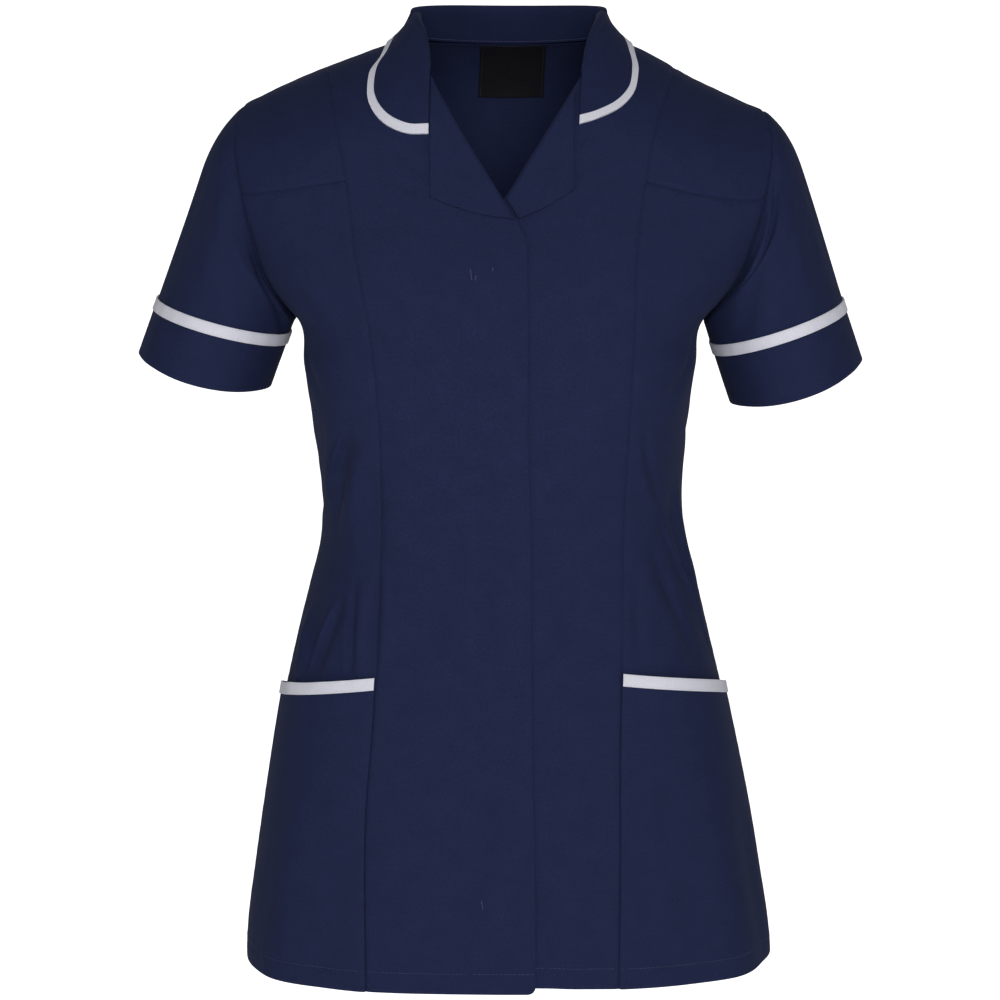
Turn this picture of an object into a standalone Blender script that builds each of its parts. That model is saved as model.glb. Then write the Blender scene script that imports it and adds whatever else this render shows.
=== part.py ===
"""A short-sleeved work tunic, filled out as it is worn, with no wearer.

Metres, +Z up. The front faces -Y, and +X is the wearer's left. The origin is at the
middle of the neck, level with the points where the shoulder seams meet the collar.

Every panel is cut from one smooth garment form. A place on that form is an angle round
the body (0 at the centre, a quarter turn at the side) and a drop below the shoulder line.
"""

import bpy
import numpy as np

# Cloth and seams
CLOTH = 0.0012
COLLAR_CLOTH = 0.0018
TAPE = 0.0010
SEAM_GAP = 0.0003
LAP_GAP = 0.0007
LAP_MARGIN = 0.008
LAP_RAMP = 0.020

# Neck and shoulders
NECK_HALF_WIDTH = 0.075
SHOULDER_FALL = 0.455
SHOULDER_ROUNDING = 0.035
FRONT_ROLL = 0.070
BACK_ROLL = 0.075
SHOULDER_TIP_HEIGHT = -0.0505

# Hem heights at the wearer's right (-1) and left (+1)
HEM_HEIGHT = {-1: -0.6855, 1: -0.6825}
UNDER_FRONT_RISE = 0.002

# Armholes, seen from the side
ARMPIT_HEIGHT = -0.202
ARMHOLE_FRONT = 0.058
ARMHOLE_BACK = 0.062
ARMHOLE_EGG = 0.15
YOKE_SEAM_HEIGHT = -0.102
YOKE_ARMHOLE_HEIGHT = -0.113
ARMHOLE_MIDDLE = (SHOULDER_TIP_HEIGHT + ARMPIT_HEIGHT) / 2
ARMHOLE_HALF = (SHOULDER_TIP_HEIGHT - ARMPIT_HEIGHT) / 2
YOKE_TURN = np.arccos((YOKE_ARMHOLE_HEIGHT - ARMHOLE_MIDDLE) / ARMHOLE_HALF)
PRINCESS_TOP = -0.020

# Sleeves
SLEEVE_HALF_DEPTH = 0.064
SLEEVE_CAP_LENGTH = 0.047
SLEEVE_CAP_LEAST = 0.006
SLEEVE_TWIST = np.radians(20)
SLEEVE_AXIS = (0.330, 0.0, -0.944)
SLEEVE_PUFF = 0.6
SLEEVE_TILT = 0.0025
CUFF_DIP = 0.005
TRIM_WIDTH = 0.009

# Lower edge of each sleeve, wearer's right (-1) and left (+1): the left hangs a little lower
SLEEVE_CENTRE = {-1: (0.2188, -0.003, -0.2412), 1: (0.2203, -0.003, -0.2500)}
SLEEVE_HALF_ACROSS = {-1: (0.0489, 0.0, 0.0132), 1: (0.0482, 0.0, 0.0165)}
CUFF_HEIGHT = {-1: 0.0335, 1: 0.0380}

# Neckline, lapels and collar; x runs from the centre to the wearer's own side
NECK_FRONT_CURVE = 1.6
ROLL_TOP = (0.0540, -0.0260)
ROLL_FOOT = (-0.0093, -0.1255)
LAPEL_TOP_INNER = {-1: (0.0505, -0.0310), 1: (0.0462, -0.0385)}
LAPEL_TOP_OUTER = {-1: (0.0528, -0.0275), 1: (0.0490, -0.0370)}
LAPEL_CORNER = {-1: (0.0510, -0.1115), 1: (0.0494, -0.1060)}
UNDER_LAPEL_FOOT = (0.0010, -0.1100)
UNDER_LAPEL_HEEL = (0.0105, -0.1248)
LAPEL_CLEAR = 0.0009
LAPEL_CLOTH = 0.0016
LAPEL_BOW = {-1: 0.0026, 1: 0.0014}
COLLAR_STAND = 0.0278
COLLAR_STAND_LEAST = 0.003
COLLAR_STAND_CURVE = 0.6
COLLAR_LEAN = 0.32
COLLAR_SPREAD = 1.3
COLLAR_END_TURN = 135.6
COLLAR_FOLD_RADIUS = 0.0028
COLLAR_CLEAR = 0.0022
COLLAR_TRIM_WIDTH = 0.0078
TRIM_GAP = 0.0005

# Pockets
POCKET_MOUTH_INNER = {-1: -0.4558, 1: -0.4524}
POCKET_MOUTH_OUTER = -0.4795
POCKET_GAPE = 0.0034
POCKET_SIDE_SHARE = 0.5
POCKET_BELLY_CURVE = 0.8

# Neck label
LABEL_LEFT = -0.0204
LABEL_RIGHT = 0.0304
LABEL_TOP = 0.0006
LABEL_FOOT = -0.0394
LABEL_CLOTH = 0.0008
LABEL_CLEAR = 0.0018


def table(names, *rows):
    """A dict of columns; the first name is the one that the table is read by."""
    return {name: np.array([row[i] for row in rows]) for i, name in enumerate(names)}


# The garment form: level sections, from the hem up to the neck
FIGURE = table(
    ("height", "half_width", "front_depth", "back_depth", "squareness"),
    (-0.700, 0.1990, 0.1255, 0.1255, 0.050),
    (-0.660, 0.1965, 0.1238, 0.1245, 0.050),
    (-0.620, 0.1902, 0.1220, 0.1230, 0.050),
    (-0.560, 0.1798, 0.1190, 0.1200, 0.050),
    (-0.480, 0.1635, 0.1150, 0.1140, 0.050),
    (-0.440, 0.1540, 0.1130, 0.1100, 0.050),
    (-0.400, 0.1445, 0.1120, 0.1040, 0.050),
    (-0.370, 0.1370, 0.1130, 0.1000, 0.050),
    (-0.340, 0.1340, 0.1155, 0.0985, 0.052),
    (-0.300, 0.1365, 0.1210, 0.1000, 0.058),
    (-0.270, 0.1397, 0.1260, 0.1030, 0.068),
    (-0.235, 0.1445, 0.1290, 0.1065, 0.075),
    (-0.202, 0.1505, 0.1275, 0.1090, 0.065),
    (-0.190, 0.1620, 0.1262, 0.1096, 0.058),
    (-0.167, 0.1820, 0.1225, 0.1100, 0.045),
    (-0.150, 0.1930, 0.1180, 0.1100, 0.035),
    (-0.126, 0.2080, 0.1095, 0.1095, 0.025),
    (-0.100, 0.2180, 0.0995, 0.1085, 0.020),
    (-0.070, 0.2300, 0.0870, 0.1075, 0.020),
    (-0.040, 0.2360, 0.0740, 0.1065, 0.020),
    (0.000, 0.2360, 0.0590, 0.1060, 0.020),
    (0.040, 0.2360, 0.0500, 0.1060, 0.020),
)

# How far the whole garment stands to the wearer's left of its centre line
SWAY = table(
    ("height", "across"),
    (-0.700, 0.0033),
    (-0.600, 0.0022),
    (-0.500, 0.0000),
    (-0.440, -0.0005),
    (-0.340, -0.0010),
    (-0.260, -0.0034),
    (-0.200, -0.0026),
    (-0.126, -0.0008),
    (-0.050, 0.0000),
    (0.000, 0.0025),
    (0.030, 0.0045),
)

# How far the shoulders stand above a level garment, from the wearer's right to the left:
# the right shoulder is the higher one
SHOULDER_LIFT = table(
    ("across", "lift"),
    (-0.225, 0.0010),
    (-0.195, 0.0028),
    (-0.170, 0.0050),
    (-0.145, 0.0050),
    (-0.110, 0.0032),
    (-0.085, 0.0018),
    (-0.060, 0.0000),
    (0.060, 0.0000),
    (0.080, 0.0018),
    (0.105, 0.0022),
    (0.130, -0.0002),
    (0.155, -0.0014),
    (0.175, -0.0019),
    (0.195, -0.0005),
    (0.215, 0.0020),
)
LIFT_FROM = -0.200
LIFT_FULL = -0.060

# Princess seams: distance from the centre at the wearer's right and left
PRINCESS = table(
    ("height", "right", "left"),
    (-0.700, 0.1040, 0.0800),
    (-0.560, 0.1020, 0.0830),
    (-0.490, 0.0950, 0.0845),
    (-0.440, 0.0915, 0.0860),
    (-0.340, 0.0885, 0.0875),
    (-0.260, 0.0865, 0.0935),
    (-0.200, 0.0940, 0.0950),
    (-0.150, 0.1050, 0.0955),
    (-0.103, 0.1120, 0.1010),
    (-0.060, 0.1210, 0.1100),
    (-0.020, 0.1305, 0.1240),
)

# Centre front edge of the upper front, measured past the centre
FRONT_EDGE = table(
    ("height", "past_centre"),
    (-0.700, 0.0198),
    (-0.340, 0.0196),
    (-0.160, 0.0176),
    (-0.140, 0.0163),
    (-0.1255, 0.0093),
)

# Outer edge of the collar: turn round the neck from the centre back, then on each side
# the distance from the centre and the drop in front of (+) or behind (-) the shoulder line
COLLAR_EDGE = table(
    ("turn", "right_across", "right_drop", "left_across", "left_drop"),
    (0.0, 0.0000, -0.114, 0.0000, -0.114),
    (30.0, 0.0430, -0.108, 0.0430, -0.108),
    (60.0, 0.0740, -0.072, 0.0745, -0.072),
    (90.0, 0.0852, 0.000, 0.0885, 0.000),
    (105.0, 0.0902, 0.038, 0.0925, 0.034),
    (115.0, 0.0977, 0.057, 0.0947, 0.055),
    (121.0, 0.0962, 0.079, 0.0914, 0.074),
    (126.5, 0.0850, 0.098, 0.0804, 0.090),
    (131.0, 0.0696, 0.110, 0.0665, 0.101),
    (COLLAR_END_TURN, 0.0532, 0.116, 0.0534, 0.109),
)

# Rows of each front panel, from the hem up
SKIRT_ROWS = 5
WAIST_ROWS = 8
CHEST_ROWS = 6
YOKE_ROWS = 7
NECK_ROWS = 3
CENTRE_FRONT_COLUMNS = 6
SIDE_FRONT_COLUMNS = 5
BACK_SHOULDER_COLUMNS = 5
BACK_NECK_COLUMNS = 12
SLEEVE_CAP_ROWS = 4
SLEEVE_ROWS = 3
LAPEL_ROWS = 7
LAPEL_COLUMNS = 5
LABEL_STEPS = 4

# Faces that meet more sharply than this are shaded as an edge
SHARP_FROM = np.radians(50)

# Colours as linear values
NAVY = (0.0130, 0.0150, 0.0560, 1.0)
WHITE = (0.740, 0.740, 0.860, 1.0)
LABEL_BLACK = (0.012, 0.012, 0.016, 1.0)


# ---- Reading tables and the garment form ------------------------------------------

def read(columns, name, at):
    """A smooth curve through one column, read at the values of the first column."""
    keys = next(iter(columns.values()))
    values = columns[name]
    slopes = np.gradient(values, keys)
    at = np.clip(at, keys[0], keys[-1])
    i = np.clip(np.searchsorted(keys, at) - 1, 0, len(keys) - 2)
    span = keys[i + 1] - keys[i]
    t = (at - keys[i]) / span
    rise = values[i + 1] - values[i]
    bend_a = slopes[i] * span - rise
    bend_b = rise - slopes[i + 1] * span
    return values[i] + t * rise + t * (1 - t) * ((1 - t) * bend_a + t * bend_b)


def section_across(angle, squareness):
    return (np.sin(angle) + squareness * np.sin(3 * angle)) / (1 - squareness)


def section_depth(angle, squareness):
    return (np.cos(angle) - squareness * np.cos(3 * angle)) / (1 - squareness)


def shoulder_height(across):
    """Height of the shoulder line, rounded where it would cross the neck."""
    at_neck = np.hypot(NECK_HALF_WIDTH, SHOULDER_ROUNDING)
    return SHOULDER_FALL * (at_neck - np.hypot(across, SHOULDER_ROUNDING))


def roll_radius(side):
    return FRONT_ROLL if side < 0 else BACK_ROLL


def fall_of(side, drop):
    """Vertical fall below the shoulder line, and the share of full depth reached there."""
    radius = roll_radius(side)
    turn = np.clip(drop / radius, -np.pi / 2, np.pi / 2)
    past = np.abs(drop) - radius * np.pi / 2
    return radius * (1 - np.cos(turn)) + np.maximum(past, 0), np.sin(turn)


def drop_of(side, fall):
    """The drop along the form for a vertical fall below the shoulder line."""
    radius = roll_radius(side)
    turn = np.arccos(np.clip(1 - fall / radius, 0, 1))
    return radius * turn + np.maximum(fall - radius, 0)


def form_point(side, angle, drop):
    """Points of the garment form, on its front (side -1) or its back (side +1)."""
    angle, drop = np.broadcast_arrays(angle, drop)
    fall, share = fall_of(side, drop)
    height = -fall
    for _ in range(25):
        square = read(FIGURE, "squareness", height)
        across = read(FIGURE, "half_width", height) * section_across(angle, square)
        height = shoulder_height(across) - fall
    depth = read(FIGURE, "front_depth" if side < 0 else "back_depth", height)
    y = side * depth * section_depth(angle, square) * share
    return np.stack([across, y, height], axis=-1)


def form_normal(side, angle, drop, step=2e-4):
    """Outward normals of the garment form, from small steps each way."""
    round_body = form_point(side, angle + step, drop) - form_point(side, angle - step, drop)
    down = form_point(side, angle, drop + step) - form_point(side, angle, drop - step)
    return unit(side * np.cross(round_body, down))


def place_at(side, across, height):
    """The (angle, drop) of a place given by its distance from the centre and height."""
    across, height = np.broadcast_arrays(np.asarray(across, float), height)
    share = np.abs(across) / read(FIGURE, "half_width", height)
    square = read(FIGURE, "squareness", height)
    low, high = np.zeros_like(share), np.full_like(share, np.pi / 2)
    for _ in range(40):
        middle = (low + high) / 2
        inside = section_across(middle, square) < share
        low, high = np.where(inside, middle, low), np.where(inside, high, middle)
    fall = np.maximum(shoulder_height(across) - height, 0)
    return np.stack([np.sign(across) * low, drop_of(side, fall)], axis=-1)


def place_on_shoulder(across):
    """The (angle, drop) of places on the shoulder seam."""
    return place_at(-1, across, shoulder_height(across)) * (1, 0)


def place_near_neck(across, signed_drop):
    """Side and (angle, drop) for a drop in front of (+) or behind (-) the shoulder."""
    side = -1 if signed_drop >= 0 else 1
    fall, _ = fall_of(side, abs(signed_drop))
    place = place_at(side, across, shoulder_height(across) - fall)
    return side, np.array([place[0], abs(signed_drop)])


def unit(vectors):
    return vectors / np.linalg.norm(vectors, axis=-1, keepdims=True)


# ---- Seams, as lists of (angle, drop) places --------------------------------------

def armhole_place(turn):
    """Armhole seam, from the shoulder tip (0) down the front to the armpit (pi) and back."""
    side = -1 if turn <= np.pi else 1
    reach = ARMHOLE_FRONT if side < 0 else ARMHOLE_BACK
    height = ARMHOLE_MIDDLE + ARMHOLE_HALF * np.cos(turn)
    depth = reach * abs(np.sin(turn)) * (1 - ARMHOLE_EGG * np.cos(turn))
    width = read(FIGURE, "half_width", height)
    square = read(FIGURE, "squareness", height)
    full = read(FIGURE, "front_depth" if side < 0 else "back_depth", height)
    low, high = 0.0, np.pi / 2
    for _ in range(50):
        angle = (low + high) / 2
        fall = max(shoulder_height(width * section_across(angle, square)) - height, 0)
        _, share = fall_of(side, drop_of(side, fall))
        if full * section_depth(angle, square) * share > depth:
            low = angle
        else:
            high = angle
    return np.array([low, drop_of(side, fall)])


def armhole_turns():
    """Turns of the armhole's shared points, one full round from the armpit up the front."""
    low = np.linspace(np.pi, YOKE_TURN, CHEST_ROWS + 1)[:-1]
    high = np.linspace(YOKE_TURN, 0, YOKE_ROWS + 1)
    behind = np.linspace(2 * np.pi, np.pi, CHEST_ROWS + YOKE_ROWS + 1)[1:-1]
    return np.concatenate([low, high, behind])


def body_heights(hem, mouth):
    """Row heights below the armpit: hem, skirt, pocket tape, pocket mouth, waist, armpit."""
    skirt = np.linspace(hem, mouth - TRIM_WIDTH, SKIRT_ROWS + 1)
    waist = np.linspace(mouth, ARMPIT_HEIGHT, WAIST_ROWS + 1)
    return np.concatenate([skirt, waist])


def side_seam(side, hand):
    heights = body_heights(HEM_HEIGHT[hand], POCKET_MOUTH_OUTER)
    width = read(FIGURE, "half_width", heights)
    fall = shoulder_height(width) - heights
    return np.stack([np.full(len(heights), np.pi / 2), drop_of(side, fall)], axis=-1)


def princess_across(heights, hand):
    return read(PRINCESS, "left" if hand > 0 else "right", heights)


def princess_seam(hand):
    """The princess seam from the hem up to the shoulder."""
    below = body_heights(HEM_HEIGHT[hand], POCKET_MOUTH_INNER[hand])
    chest = np.linspace(ARMPIT_HEIGHT, YOKE_SEAM_HEIGHT, CHEST_ROWS + 1)[1:]
    heights = np.concatenate([below, chest])
    lower = place_at(-1, princess_across(heights, hand), heights)
    drops = np.linspace(lower[-1, 1], 0, YOKE_ROWS + 1)[1:]
    height = np.linspace(YOKE_SEAM_HEIGHT, PRINCESS_TOP, YOKE_ROWS + 1)[1:]
    for _ in range(25):
        across = princess_across(height, hand)
        height = shoulder_height(across) - fall_of(-1, drops)[0]
    upper = place_at(-1, across, height)
    upper[:, 1] = drops
    return np.concatenate([lower, upper])


def neck_front(share):
    """Front of the neck seam, from the shoulder (0) to the top of the roll line (1)."""
    last = place_at(-1, *ROLL_TOP)[1]
    across = NECK_HALF_WIDTH - (NECK_HALF_WIDTH - ROLL_TOP[0]) * share**NECK_FRONT_CURVE
    return place_near_neck(across, last * share)[1]


def neck_back(turn):
    """Back of the neck seam; the turn is 0 at the centre back, a quarter at the shoulder."""
    across = NECK_HALF_WIDTH * np.sin(turn)
    return place_at(1, across, 0.0)


def centre_edge(hand):
    """Inner edge of a centre front: straight edge, roll line, then neck seam."""
    hem = HEM_HEIGHT[hand] + (UNDER_FRONT_RISE if hand > 0 else 0)
    below = body_heights(hem, POCKET_MOUTH_INNER[hand])
    chest = np.linspace(ARMPIT_HEIGHT, ROLL_FOOT[1], CHEST_ROWS - 1)[1:]
    heights = np.concatenate([below, chest])
    straight = place_at(-1, -read(FRONT_EDGE, "past_centre", heights), heights)
    steps = np.linspace(0, 1, YOKE_ROWS - NECK_ROWS + 3)[1:]
    roll = place_at(-1, *roll_line(steps))
    neck = [neck_front(s) for s in np.linspace(1, 0, NECK_ROWS + 1)[1:]]
    return np.concatenate([straight, roll, neck])


def roll_line(share):
    """Across and height along the roll line, from its foot (0) to its top (1)."""
    across = ROLL_FOOT[0] + (ROLL_TOP[0] - ROLL_FOOT[0]) * share
    return across, ROLL_FOOT[1] + (ROLL_TOP[1] - ROLL_FOOT[1]) * share


def hem_row(side, start, end, columns, height_start, height_end):
    """A hem between two angles; its height runs evenly from one end to the other."""
    angles = np.linspace(start, end, columns + 1)
    heights = np.linspace(height_start, height_end, columns + 1)
    square = read(FIGURE, "squareness", heights)
    across = read(FIGURE, "half_width", heights) * section_across(angles, square)
    return np.stack([angles, drop_of(side, shoulder_height(across) - heights)], axis=-1)


# ---- From seams to solids ----------------------------------------------------------

def fill_between(left, right, bottom, top):
    """A grid of places between four seams that meet at their ends."""
    v = np.linspace(0, 1, len(left))[:, None, None]
    u = np.linspace(0, 1, len(bottom))[None, :, None]
    sides = (1 - u) * left[:, None] + u * right[:, None]
    ends = (1 - v) * bottom[None] + v * top[None]
    corners = (1 - v) * ((1 - u) * bottom[0] + u * bottom[-1])
    corners = corners + v * ((1 - u) * top[0] + u * top[-1])
    return sides + ends - corners


def edge_shift(points, normals, edges, distance):
    """How far each edge point moves into its own panel, to leave half of a seam's gap."""
    shift = np.zeros_like(points)
    along_rows = np.gradient(points, axis=0)
    along_columns = np.gradient(points, axis=1)
    cuts = {
        "left": (np.s_[:, 0], along_rows, along_columns, 1),
        "right": (np.s_[:, -1], along_rows, along_columns, -1),
        "bottom": (np.s_[0, :], along_columns, along_rows, 1),
        "top": (np.s_[-1, :], along_columns, along_rows, -1),
    }
    for edge in edges:
        part, along, inwards, sign = cuts[edge]
        square = unit(np.cross(normals[part], along[part]))
        facing = np.sign((square * inwards[part] * sign).sum(-1, keepdims=True))
        shift[part] += square * facing * distance
    return shift


def wall(outer, inner, closed=False):
    """Vertices and faces of a closed wall between two grids of points."""
    rows, columns = outer.shape[:2]
    index = np.arange(rows * columns).reshape(rows, columns)
    if closed:
        index = np.concatenate([index, index[:, :1]], axis=1)
    back = index + rows * columns

    def quads(a, b, c, d):
        return np.stack([a, b, c, d], axis=-1).reshape(-1, 4)

    faces = [
        quads(index[:-1, :-1], index[:-1, 1:], index[1:, 1:], index[1:, :-1]),
        quads(back[:-1, :-1], back[1:, :-1], back[1:, 1:], back[:-1, 1:]),
        quads(index[0, 1:], index[0, :-1], back[0, :-1], back[0, 1:]),
        quads(index[-1, :-1], index[-1, 1:], back[-1, 1:], back[-1, :-1]),
    ]
    if not closed:
        faces.append(quads(index[:-1, 0], index[1:, 0], back[1:, 0], back[:-1, 0]))
        faces.append(quads(index[1:, -1], index[:-1, -1], back[:-1, -1], back[1:, -1]))
    points = np.concatenate([outer.reshape(-1, 3), inner.reshape(-1, 3)])
    return points, np.concatenate(faces)


def signed_volume(points, faces):
    corners = [points[faces[:, i]] for i in range(4)]
    first = np.einsum("ij,ij->i", corners[0], np.cross(corners[1], corners[2]))
    second = np.einsum("ij,ij->i", corners[0], np.cross(corners[2], corners[3]))
    return (first.sum() + second.sum()) / 6


def as_worn(points):
    """Points moved from a level, upright garment to the way it sits on its wearer."""
    share = np.clip((points[:, 2] - LIFT_FROM) / (LIFT_FULL - LIFT_FROM), 0, 1)
    lift = read(SHOULDER_LIFT, "lift", points[:, 0]) * share * share * (3 - 2 * share)
    sway = read(SWAY, "across", points[:, 2])
    return points + np.stack([sway, np.zeros(len(points)), lift], axis=-1)


def add_piece(name, outer, inner, material, closed=False, hand=1):
    """One closed solid from its outer and inner points, mirrored to its own side."""
    points, faces = wall(outer, inner, closed)
    points = as_worn(points * (hand, 1, 1))
    if signed_volume(points, faces) < 0:
        faces = faces[:, ::-1]
    mesh = bpy.data.meshes.new(name)
    mesh.from_pydata(points.tolist(), [], faces.tolist())
    mesh.materials.append(material)
    mesh.shade_smooth()
    mesh.set_sharp_from_angle(angle=SHARP_FROM)
    piece = bpy.data.objects.new(name, mesh)
    bpy.context.scene.collection.objects.link(piece)
    return piece


def cloth_material(name, colour, roughness):
    material = bpy.data.materials.new(name)
    material.use_nodes = True
    shader = material.node_tree.nodes["Principled BSDF"]
    shader.inputs["Base Color"].default_value = colour
    shader.inputs["Roughness"].default_value = roughness
    shader.inputs["Metallic"].default_value = 0.0
    return material


def add_panel(name, side, places, seams, material, hand=1, lift=0.0, thick=CLOTH):
    """A panel on the garment form: its outer face is lifted off the form, then seamed."""
    angle, drop = places[..., 0], places[..., 1]
    on_form = form_point(side, angle, drop)
    normals = form_normal(side, angle, drop)
    shift = edge_shift(on_form, normals, seams, SEAM_GAP / 2)
    lift = np.asarray(lift + np.zeros(angle.shape))[..., None]
    outer = on_form + shift + normals * lift
    return add_piece(name, outer, outer - normals * thick, material, hand=hand)


# ---- Panels ------------------------------------------------------------------------

def under_lap(places):
    """How deep the under front lies below the form, to pass beneath the upper front."""
    points = form_point(-1, places[..., 0], places[..., 1])
    edge = read(FRONT_EDGE, "past_centre", points[..., 2])
    over_foot = (points[..., 2] - ROLL_FOOT[1] - LAP_MARGIN) / (ROLL_TOP[1] - ROLL_FOOT[1])
    edge = np.where(over_foot > 0, -roll_line(over_foot)[0], edge)
    share = np.clip((points[..., 0] - edge - LAP_MARGIN) / LAP_RAMP, 0, 1)
    return -(CLOTH + LAP_GAP) * (1 - share * share * (3 - 2 * share))


def centre_front(hand, material):
    inner = centre_edge(hand)
    outer = princess_seam(hand)
    start = HEM_HEIGHT[hand] + (UNDER_FRONT_RISE if hand > 0 else 0)
    hem = hem_row(-1, inner[0, 0], outer[0, 0], CENTRE_FRONT_COLUMNS, start, HEM_HEIGHT[hand])
    reach = princess_across(PRINCESS_TOP, hand)
    shoulder = place_on_shoulder(np.linspace(NECK_HALF_WIDTH, reach, CENTRE_FRONT_COLUMNS + 1))
    inner[-1], outer[-1] = shoulder[0], shoulder[-1]
    places = fill_between(inner, outer, hem, shoulder)
    lift = under_lap(places) if hand > 0 else 0.0
    name = "centre_front_left" if hand > 0 else "centre_front_right"
    add_panel(name, -1, places, ("right", "top"), material, hand, lift)


def side_front_places(hand):
    rows = SKIRT_ROWS + WAIST_ROWS + CHEST_ROWS + 1
    inner = princess_seam(hand)[: rows + 1]
    turns = np.linspace(np.pi, YOKE_TURN, CHEST_ROWS + 1)[1:]
    armhole = np.array([armhole_place(t) for t in turns])
    outer = np.concatenate([side_seam(-1, hand), armhole])
    hem = hem_row(-1, inner[0, 0], outer[0, 0], SIDE_FRONT_COLUMNS, *[HEM_HEIGHT[hand]] * 2)
    top = np.linspace(inner[-1], outer[-1], SIDE_FRONT_COLUMNS + 1)
    return fill_between(inner, outer, hem, top)


def side_front(hand, material):
    name = "side_front_left" if hand > 0 else "side_front_right"
    add_panel(name, -1, side_front_places(hand), ("left", "right", "top"), material, hand)


def front_yoke(hand, material):
    below = side_front_places(hand)[-1]
    inner = princess_seam(hand)[-YOKE_ROWS - 1:]
    outer = np.array([armhole_place(t) for t in np.linspace(YOKE_TURN, 0, YOKE_ROWS + 1)])
    tip = form_point(-1, *outer[-1])[0]
    start = princess_across(PRINCESS_TOP, hand)
    shoulder = place_on_shoulder(np.linspace(start, tip, SIDE_FRONT_COLUMNS + 1))
    inner[-1], outer[-1] = shoulder[0], shoulder[-1]
    places = fill_between(inner, outer, below, shoulder)
    name = "front_yoke_left" if hand > 0 else "front_yoke_right"
    add_panel(name, -1, places, ("left", "right", "top", "bottom"), material, hand)


def back(material):
    turns = np.linspace(np.pi, 2 * np.pi, CHEST_ROWS + YOKE_ROWS + 1)[1:]
    turns[-1] = 2 * np.pi - 1e-9
    armhole = np.array([armhole_place(t) for t in turns])
    edges = {}
    for hand in (-1, 1):
        edges[hand] = np.concatenate([side_seam(1, hand), armhole]) * (hand, 1)
    tip = form_point(1, *armhole[-1])[0]
    shoulder = place_on_shoulder(np.linspace(NECK_HALF_WIDTH, tip, BACK_SHOULDER_COLUMNS + 1))
    half_turns = np.linspace(-np.pi / 2, np.pi / 2, BACK_NECK_COLUMNS + 1)[1:-1]
    neck = np.array([neck_back(t) for t in half_turns])
    top = np.concatenate([shoulder[::-1] * (-1, 1), neck, shoulder])
    edges[-1][-1], edges[1][-1] = top[0], top[-1]
    hem = hem_row(1, -np.pi / 2, np.pi / 2, len(top) - 1, HEM_HEIGHT[-1], HEM_HEIGHT[1])
    places = fill_between(edges[-1], edges[1], hem, top)
    add_panel("back", 1, places, ("left", "right", "top"), material)


def pockets(hand, cloth, tape):
    """A pocket lies on its side front, and stands off it towards the side of its mouth."""
    mouth = SKIRT_ROWS + 1
    places = side_front_places(hand)[: mouth + 1]
    u = np.linspace(0, 1, SIDE_FRONT_COLUMNS + 1)[None]
    v = np.linspace(0, 1, mouth + 1)[:, None]
    belly = np.sin(np.pi * u**POCKET_BELLY_CURVE)
    bulge = belly * (1 - POCKET_SIDE_SHARE) + POCKET_SIDE_SHARE * u
    clear = SEAM_GAP + POCKET_GAPE * bulge * v**2
    side_name = "left" if hand > 0 else "right"
    add_panel("pocket_" + side_name, -1, places, ("left", "right"), cloth, hand, clear + CLOTH)
    on_pocket = clear[-2:] + CLOTH + SEAM_GAP + TAPE
    add_panel("pocket_trim_" + side_name, -1, places[-2:], ("left", "right"), tape, hand,
              on_pocket, TAPE)


# ---- Sleeves -----------------------------------------------------------------------

def sleeve_ring(hand, turn, up, dip=0.0):
    """A point of the straight part of the sleeve, a distance up from its lower edge."""
    centre, across = np.array(SLEEVE_CENTRE[hand]), np.array(SLEEVE_HALF_ACROSS[hand])
    ahead = np.array((0, -SLEEVE_HALF_DEPTH, -SLEEVE_TILT))
    ring = centre + across * np.cos(turn) + ahead * np.sin(turn)
    return ring - np.array(SLEEVE_AXIS) * (up - dip * np.sin(turn)**2)


def armhole_frame(turn, step=1e-3):
    """Armhole point, the body's normal there, and the direction out of the body panel."""
    def at(t):
        t = np.clip(t % (2 * np.pi), 1e-6, 2 * np.pi - 1e-6)
        side = -1 if t <= np.pi else 1
        return side, armhole_place(t)
    side, place = at(turn)
    before, after = (form_point(s, *p) for s, p in (at(turn - step), at(turn + step)))
    normal = form_normal(side, *place)
    out = unit(np.cross(unit(after - before), normal))
    point = form_point(side, *place)
    return point, normal, out * np.sign(out @ (1, 0, 0.5 * np.cos(turn) + 0.5))


def sleeve_line(hand, turn, shares):
    """Points down the sleeve from the armhole, over the cap, to the cuff seam."""
    point, normal, out = armhole_frame(turn)
    low = (1 - np.cos(turn)) / 2
    start = point + out * SEAM_GAP / 2 + normal * SEAM_GAP * 1.5 * low
    ring_turn = turn - SLEEVE_TWIST * np.sin(turn) * abs(np.sin(turn))
    axis = np.array(SLEEVE_AXIS)
    length = (sleeve_ring(hand, ring_turn, 0) - start) @ axis
    cap = SLEEVE_CAP_LEAST + SLEEVE_CAP_LENGTH * np.cos(turn / 2)**4
    joint = sleeve_ring(hand, ring_turn, length - cap)
    chord = joint - start
    size = np.linalg.norm(chord)
    puff = SLEEVE_PUFF * np.cos(turn / 2)**2
    lead = unit(chord / size + np.array((puff, 0, 0))) * size
    end = sleeve_ring(hand, ring_turn, CUFF_HEIGHT[hand] + SEAM_GAP)
    points = []
    for share in shares:
        if share <= 1:
            s2, s3 = share**2, share**3
            points.append(start * (2 * s3 - 3 * s2 + 1) + lead * (s3 - 2 * s2 + share)
                          + joint * (3 * s2 - 2 * s3) + axis * size * (s3 - s2))
        else:
            points.append(joint + (end - joint) * (share - 1))
    return np.array(points)


def tube_normals(grid):
    """Outward normals of a tube whose rows are closed rings."""
    ring = np.roll(grid, -1, axis=1) - np.roll(grid, 1, axis=1)
    normal = unit(np.cross(ring, np.gradient(grid, axis=0)))
    outwards = grid - grid.mean(axis=1, keepdims=True)
    return normal * np.sign((normal * outwards).sum())


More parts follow.
